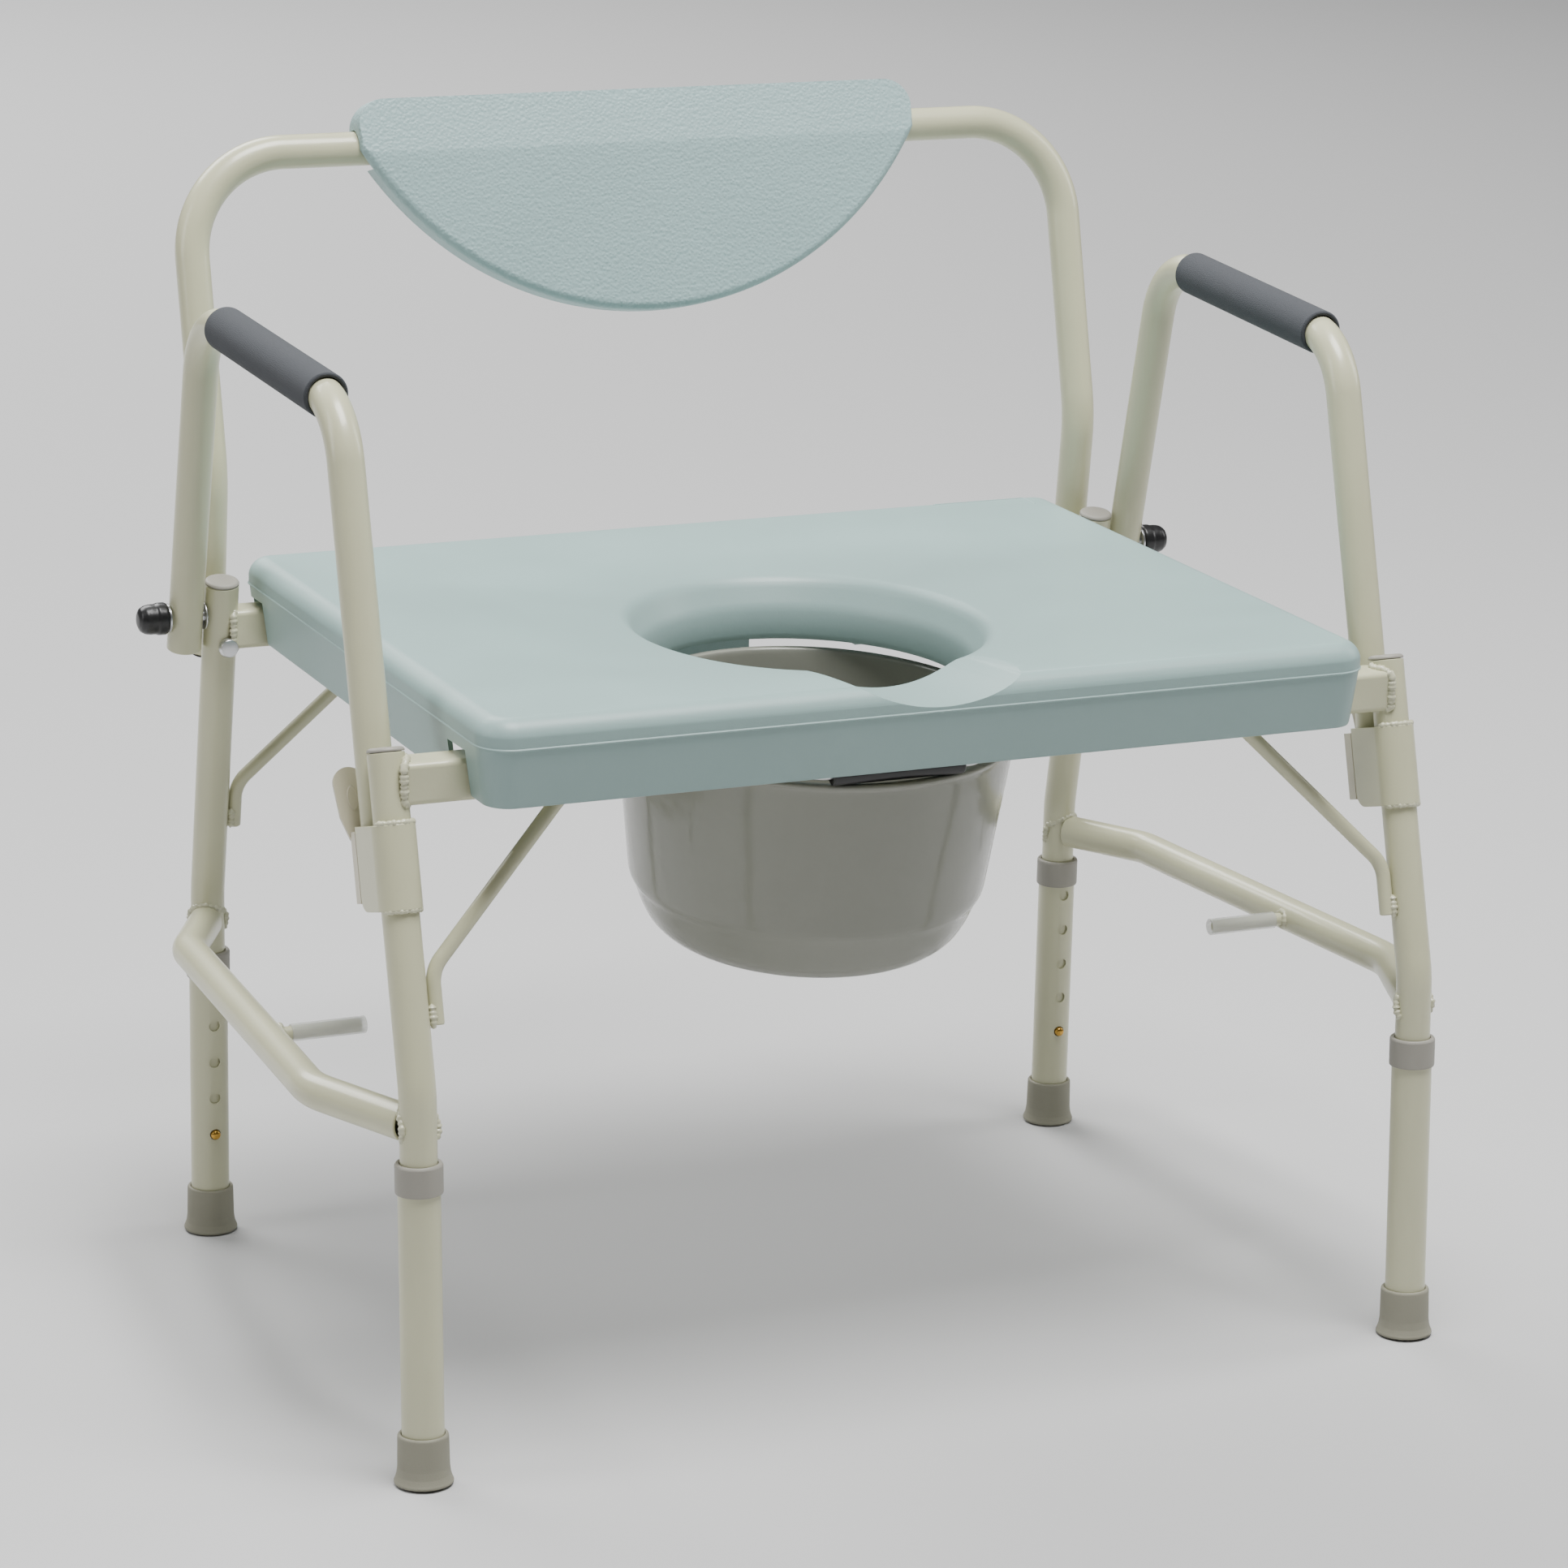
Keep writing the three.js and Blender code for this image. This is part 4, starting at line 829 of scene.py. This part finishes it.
def seat_ring(inset, z):
    points = []
    for sx, sy, start in ((1, 1, 0), (-1, 1, 90), (-1, -1, 180), (1, -1, 270)):
        edge_y = SEAT_REAR - inset if sy > 0 else SEAT_FRONT + inset
        r = max((16 if sy > 0 else 22) - inset, 4)
        points += arc(sx * (SEAT_HALF - inset - r), edge_y - sy * r, r, start, start + 90, 14)
    return np.column_stack([np.array(points), np.full(len(points), z)])


seat_rings = [
    seat_ring(DRAFT + 1.9, SKIRT),
    seat_ring(DRAFT + 0.6, SKIRT + 0.5),
    seat_ring(DRAFT, SKIRT + 1.8),
    seat_ring(1.1, PARTING - 0.9),
    seat_ring(0.9, PARTING - 0.7),
    seat_ring(0.1, PARTING - 0.35),
    seat_ring(0.0, PARTING + 0.2),
    seat_ring(0.35, PARTING + 0.6),
    seat_ring(0.6, PARTING + 0.9),
]
for k in range(1, 13):
    a = math.radians(4 + 86 * k / 12)
    seat_rings.append(
        seat_ring(0.4 + EDGE_R * (1 - math.cos(a)), SEAT_TOP - EDGE_R * (1 - math.sin(a)))
    )
seat_block = skin(seat_rings)
seat_hollow = skin(
    [
        seat_ring(DRAFT + 3.2, SKIRT - 2),
        seat_ring(4.2, PARTING),
        seat_ring(SKIN + 4, SEAT_TOP - SKIN - 6),
        seat_ring(SKIN + 12, SEAT_TOP - SKIN),
    ]
)


# The deck falls by DISH from the seat's edges to the opening.
DISH, MARGIN, SPOKES, DISH_STEPS = 10.0, 14.0, 144, 16


def dish_ring(share, z):
    """A ring that blends from the oval opening at 0 to the seat's edges at 1."""
    a = np.linspace(0, 2 * math.pi, SPOKES, endpoint=False)
    c, s = np.cos(a), np.sin(a)
    inner = 1 / np.hypot(c / MOUTH, s / (MOUTH * HOLE_LONG))
    wall_x = (SEAT_HALF - MARGIN) / np.maximum(np.abs(c), 1e-6)
    reach_y = np.where(s > 0, SEAT_REAR - HOLE_Y, HOLE_Y - SEAT_FRONT) - MARGIN
    wall_y = reach_y / np.maximum(np.abs(s), 1e-6)
    outer = (wall_x ** -6 + wall_y ** -6) ** (-1 / 6)
    r = inner + (outer - inner) * share
    return np.column_stack([r * c, HOLE_Y + r * s, np.full(SPOKES, z)])


shares = [k / DISH_STEPS for k in range(DISH_STEPS + 1)]
dish = [dish_ring(t, SEAT_TOP + 0.05 - DISH * (1 - t) ** 2) for t in shares]
above_deck = skin(dish + [dish_ring(1, SEAT_TOP + 20)])


def oval_part(profile, r=0.0):
    points, faces = lathe(profile, 128, r)
    return points * vec(1, HOLE_LONG, 1) + vec(0, HOLE_Y, 0), faces


opening = oval_part(
    [(0, LIP - 6), (HOLE_X + 3, LIP - 6), (HOLE_X + 1.2, LIP), (HOLE_X, LIP + 4), (HOLE_X, CREASE)]
    + [(HOLE_X + 3.4, 430.6), (HOLE_X + 7.4, 438.6), (HOLE_X + 9.2, 441.8)]
    + [(HOLE_X + 11.2, 444.0), (HOLE_X + 13.8, 445.5), (HOLE_X + 17, 446.6)]
    + [(HOLE_X + 20, 448.0), (HOLE_X + 20, SEAT_TOP + 3), (0, SEAT_TOP + 3)]
)
collar_wall = oval_part(
    [
        (0, LIP), (HOLE_X + 3.6, LIP), (HOLE_X + SKIN, LIP + 3), (HOLE_X + SKIN, CREASE),
        (MOUTH + 3, SEAT_TOP - DISH - 4), (0, SEAT_TOP - DISH - 4),
    ]
)
SCOOP_HALF, SCOOP_DEPTH, SCOOP_FALL = 47.5, 11.5, 24
scoop_r = (SCOOP_HALF ** 2 + SCOOP_DEPTH ** 2) / (2 * SCOOP_DEPTH)
scoop_z = SEAT_TOP - SCOOP_DEPTH + scoop_r
scoop_line = [(0, SEAT_FRONT - 20, scoop_z), (0, HOLE_Y, scoop_z - SCOOP_FALL)]
scoop = rod(bent(scoop_line), scoop_r, 220, 0.01)
scoop_floor = box(-52, 52, SEAT_FRONT + 4, -100, SEAT_TOP - 29, SEAT_TOP - 4)
seat_x = (1, 0, 0)
seat_y = (0, math.cos(seat_tilt), math.sin(seat_tilt))
seat_z = (0, -math.sin(seat_tilt), math.cos(seat_tilt))


def on_seat(part):
    return placed(
        moved(part, 0, -SEAT_FRONT, -SKIRT), seat_x, seat_y, seat_z, (-2, SEAT_FRONT, SKIRT)
    )


front_rail_y, rear_rail_y = FRONT_RAIL[0], REAR_RAIL[0]
ribs = []
for x in (-230, -150, -75, 75, 150, 230):
    ribs.append(box(x - 2, x + 2, front_rail_y - 22, front_rail_y + 22, 426, 480))
    ribs.append(box(x - 2, x + 2, rear_rail_y - 17, rear_rail_y + 12, 436, 480))
clip_back = rear_rail_y - 13
for x0, x1 in ((-50, 50), (128, 210), (-210, -128)):
    ribs.append(box(x0, x1, clip_back - 4, clip_back, 379, 480))
under_deck = on_seat(box(-290, 290, -230, 210, 300, SEAT_TOP - 2))
seat_hollow = carve(seat_hollow, moved(above_deck, 0, 0, -SKIN))
seat = carve(carve(seat_block, seat_hollow), collar_wall, "UNION")
seat = on_seat(carve(seat, carve(scoop_floor, seat_block, "INTERSECT"), "UNION"))
for rib in ribs:
    seat = carve(seat, carve(rib, under_deck, "INTERSECT"), "UNION")
seat = carve(carve(carve(seat, on_seat(opening)), on_seat(scoop)), on_seat(above_deck))
for y, top in ((front_rail_y, 431.5), (rear_rail_y, 440)):
    for x0, x1 in ((255, 300), (-300, -255)):
        seat = carve(seat, box(x0, x1, y - 15.2, y + 15.2, SKIRT - 5, top))
emit("seat_fine", seat, seat_plastic, "frame", ["seat"], "seat_plastic", angle=36)

# ------------------------------------------------------------------ pail
PAIL_PLACE = (0, -46, 393.5)
DEPTH, RIM_R, TAPER = 147.5, 126.6, 0.125
tilt = math.radians(6.6)
slide_back = (0, math.cos(tilt), math.sin(tilt))
rim_up = (0, -math.sin(tilt), math.cos(tilt))


def on_rim(part):
    return placed(part, (1, 0, 0), slide_back, rim_up, PAIL_PLACE)


def pail_side(depth):
    return RIM_R - TAPER * depth


pail_profile = [
    (0, -DEPTH), (70, 0.4 - DEPTH), (77.5, 1 - DEPTH), (91.5, 5 - DEPTH), (100, 12.5 - DEPTH),
    (106, 24 - DEPTH), (109.5, 34 - DEPTH), (pail_side(108), -108), (pail_side(4), -4),
    (129.1, -3.6), (129.5, -2.6), (129.5, -1.2), (128.3, 0), (pail_side(0) - 2.2, 0),
    (pail_side(0) - 3.4, -1.4), (pail_side(106) - 2.4, -106), (106.9, 35 - DEPTH),
    (103.4, 25.4 - DEPTH), (98, 14.6 - DEPTH), (90, 7.6 - DEPTH), (76.5, 3.6 - DEPTH),
    (0, 2.6 - DEPTH),
]
pail = lathe(soften(soften(pail_profile, 5, 3), 0.6, 2), 144)
lug = box(118.6, 125, -5, 5, -6, 6.2)
lug = carve(lug, box(110, 130, -12, 12, -12, -5))
lug = carve(lug, rod(bent([(115, 0, 3), (135, 0, 3)]), 2.35, 24, 0.01))
pail = carve(carve(pail, lug, "UNION"), mirrored(lug), "UNION")
emit("pail_fine", on_rim(pail), pail_plastic, "pail", ["pail"], "pail_plastic")
lift = math.tan(math.radians(1.52))


def bail_point(x, y):
    return (x, y, 3 - lift * y)


bail_line = [
    bail_point(116.5, 0), bail_point(129, 0), bail_point(129, -46), bail_point(52, -122),
    bail_point(-52, -122), bail_point(-129, -46), bail_point(-129, 0), bail_point(-116.5, 0),
]
bail = rod(bent(bail_line, [4, 50, 12, 12, 50, 4], 5), 2.0, 20, 0.3)
emit("pail_bail_fine", on_rim(bail), zinc, "bail", ["pail_bail"], "zinc_steel")
bail_grip = sleeve_over(bent([bail_point(-44, -122), bail_point(44, -122)]), 2.4, 6.0, 36, 1.4)
emit("bail_grip_fine", on_rim(bail_grip), black, "bail", ["pail_bail_grip"], "black_plastic")
for side, sign in SIDES:
    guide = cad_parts[f"pail_guide_{side}"]
    guide.data.materials.clear()
    guide.data.materials.append(grey_plastic)

# ------------------------------------------------------------------ weld beads
def rail_weld(post_x, line_y, z, sides, r=2.2):
    """A bead round the rail's section where it meets the post. sides picks its faces."""
    y = line_y(z)
    path = []
    for dy, dz in sides:
        at = min(abs(dy), 9.8)
        x = post_x - math.sqrt(TUBE_R ** 2 - at ** 2)
        path.append((x, y + dy, z + dz))
    return bead(path, r, seed=post_x)


front_faces = [(6, 12.9), (0, 12.9), (-8, 12.9), (-12.6, 10), (-13, 0), (-12.6, -10), (-8, -12.9)]
front_faces += [(0, -12.9), (6, -12.9)]
rear_faces = [(-8, 12.9), (-12.6, 10), (-13, 0), (-12.6, -10), (-8, -12.9), (8, -12.9)]
rear_faces += [(12.6, -10), (13, 0), (12.6, 10), (8, 12.9)]
rear_bend, front_bend = vec(REAR_X, BEND_Y, BEND_Z), vec(FRONT_X, -BEND_Y, BEND_Z)
rear_corner, front_corner = vec(*stretcher_ends[1]), vec(*stretcher_ends[2])
welds = [
    rail_weld(FRONT_X, front_y, FRONT_RAIL_Z, front_faces, 2.5),
    rail_weld(REAR_X, rear_y, REAR_RAIL_Z, rear_faces, 2.3),
    bead(saddle(rear_bend, rear_up, TUBE_R, rear_corner, -first_way, 11.6), 2.1, True, 1.0),
    bead(saddle(front_bend, front_up, TUBE_R, front_corner, last_way, 11.6), 2.1, True, 2.0),
]
for x, z0, z1, line_y in ((FRONT_X, 274, 288, front_y), (REAR_X, 282, 296, rear_y)):
    for dy in (-3.2, 3.2):
        ends = [(x - 12.6, line_y(z0) + dy, z0), (x - 12.6, line_y(z1) + dy, z1)]
        welds.append(bead(ends, 2.5, seed=z0 + dy))
welds.append(bead([(224, front_y(399.5) + 5, 399.3), (214, front_y(399.5), 400.2)], 2.2, seed=5.0))
welds.append(bead([(196, rear_y(409) + 5, 409.3), (187, rear_y(409), 410.2)], 2.2, seed=6.0))
run_way = unit(front_corner - rear_corner)
peg_start = vec(PEG_TIP, PEG_Y, STRETCHER_Z)
peg_ring = saddle(rear_corner, run_way, TUBE_R, peg_start, vec(1, 0, 0), 4.8, 32)
welds.append(bead(peg_ring, 1.9, True, 3.0))
front_half = np.radians(np.arange(-165, -14, 6))
for z, r in ((50.6, 1.7), (-0.4, 1.5)):
    arc_line = [(12.0 * math.cos(a), 12.0 * math.sin(a), z) for a in front_half]
    welds.append(on_front_post(bead(arc_line, r, seed=z)))
all_welds = join(*welds)
for side, sign in SIDES:
    beads = sided(all_welds, sign)
    emit(f"welds_{side}", beads, weld_paint, "frame", slot="painted_tube", angle=60)

# Moulded outline on the deck near the rear right corner.
mark = []
for a, b in (((200, 205.0), (268, 205.0)), ((268, 205.0), (268, 186)), ((200, 205.0), (200, 202))):
    line = [(*a, SEAT_TOP - 0.15), (*b, SEAT_TOP - 0.15)]
    mark.append(rod(bent(line), 0.5, 10, 0.2))
emit("seat_mark", on_seat(join(*mark)), seat_plastic, "frame", slot="seat_plastic")

# ------------------------------------------------------------------ studio
# From here on lengths are in metres.
FLOOR_HALF, FLOOR_GREY, SKY_STRENGTH = 30, 0.5, 0.12
floor_slab = box(-FLOOR_HALF, FLOOR_HALF, -FLOOR_HALF, FLOOR_HALF, -0.05, -0.0004)
floor_mesh = mesh_of(floor_slab, "floor", 1e-6)
floor = bpy.data.objects.new("floor", floor_mesh)
bpy.context.scene.collection.objects.link(floor)
floor_look = bpy.data.materials.new("floor_look")
floor_look.use_nodes = True
floor_shader = floor_look.node_tree.nodes["Principled BSDF"]
floor_shader.inputs["Base Color"].default_value = (FLOOR_GREY, FLOOR_GREY, FLOOR_GREY, 1)
floor_shader.inputs["Roughness"].default_value = 0.9
floor_mesh.materials.append(floor_look)

world = bpy.data.worlds.new("studio")
world.use_nodes = True
sky = world.node_tree.nodes["Background"]
sky.inputs["Color"].default_value = (1, 1, 1, 1)
sky.inputs["Strength"].default_value = SKY_STRENGTH
bpy.context.scene.world = world


def softbox(name, place, target, width, height, power):
    light = bpy.data.lights.new(name, "AREA")
    light.shape = "RECTANGLE"
    light.size, light.size_y = width, height
    light.energy = power
    lamp = bpy.data.objects.new(name, light)
    bpy.context.scene.collection.objects.link(lamp)
    way = unit(vec(*target) - vec(*place))
    side = unit(np.cross(way, (0, 0, 1)))
    up = np.cross(side, way)
    basis = np.eye(4)
    basis[:3, 0], basis[:3, 1], basis[:3, 2], basis[:3, 3] = side, up, -way, place
    lamp.matrix_world = Matrix(basis.tolist())


softbox("key", (0.2, -0.9, 4.2), (0, 0, 0.4), 2.0, 2.0, 330)
softbox("left", (-2.5, 0.1, 1.6), (0, 0, 0.8), 0.7, 1.6, 16)
softbox("right", (2.6, -0.2, 1.7), (0, 0, 0.8), 0.8, 1.4, 20)
softbox("backdrop", (-1.5, 7.0, 6.0), (-1.5, 7.01, 0), 6.0, 6.0, 1200)

IMAGE_SIZE, FOCAL_PIXELS = 1932, 6220.57
CAMERA_PLACE = (-1.2618, -2.8698, 1.1445)
AZIMUTH, ELEVATION, ROLL = math.radians(-23.81), math.radians(14.51), math.radians(0.67)
forward = vec(
    -math.sin(AZIMUTH) * math.cos(ELEVATION),
    math.cos(AZIMUTH) * math.cos(ELEVATION),
    -math.sin(ELEVATION),
)
level = vec(math.cos(AZIMUTH), math.sin(AZIMUTH), 0)
upward = np.cross(level, forward)
right = level * math.cos(ROLL) + upward * math.sin(ROLL)
top_way = upward * math.cos(ROLL) - level * math.sin(ROLL)
lens = bpy.data.cameras.new("camera")
lens.sensor_width = 36.0
lens.lens = lens.sensor_width * FOCAL_PIXELS / IMAGE_SIZE
camera = bpy.data.objects.new("camera", lens)
bpy.context.scene.collection.objects.link(camera)
basis = np.eye(4)
basis[:3, 0], basis[:3, 1], basis[:3, 2] = right, top_way, -forward
basis[:3, 3] = CAMERA_PLACE
camera.matrix_world = Matrix(basis.tolist())
bpy.context.scene.camera = camera
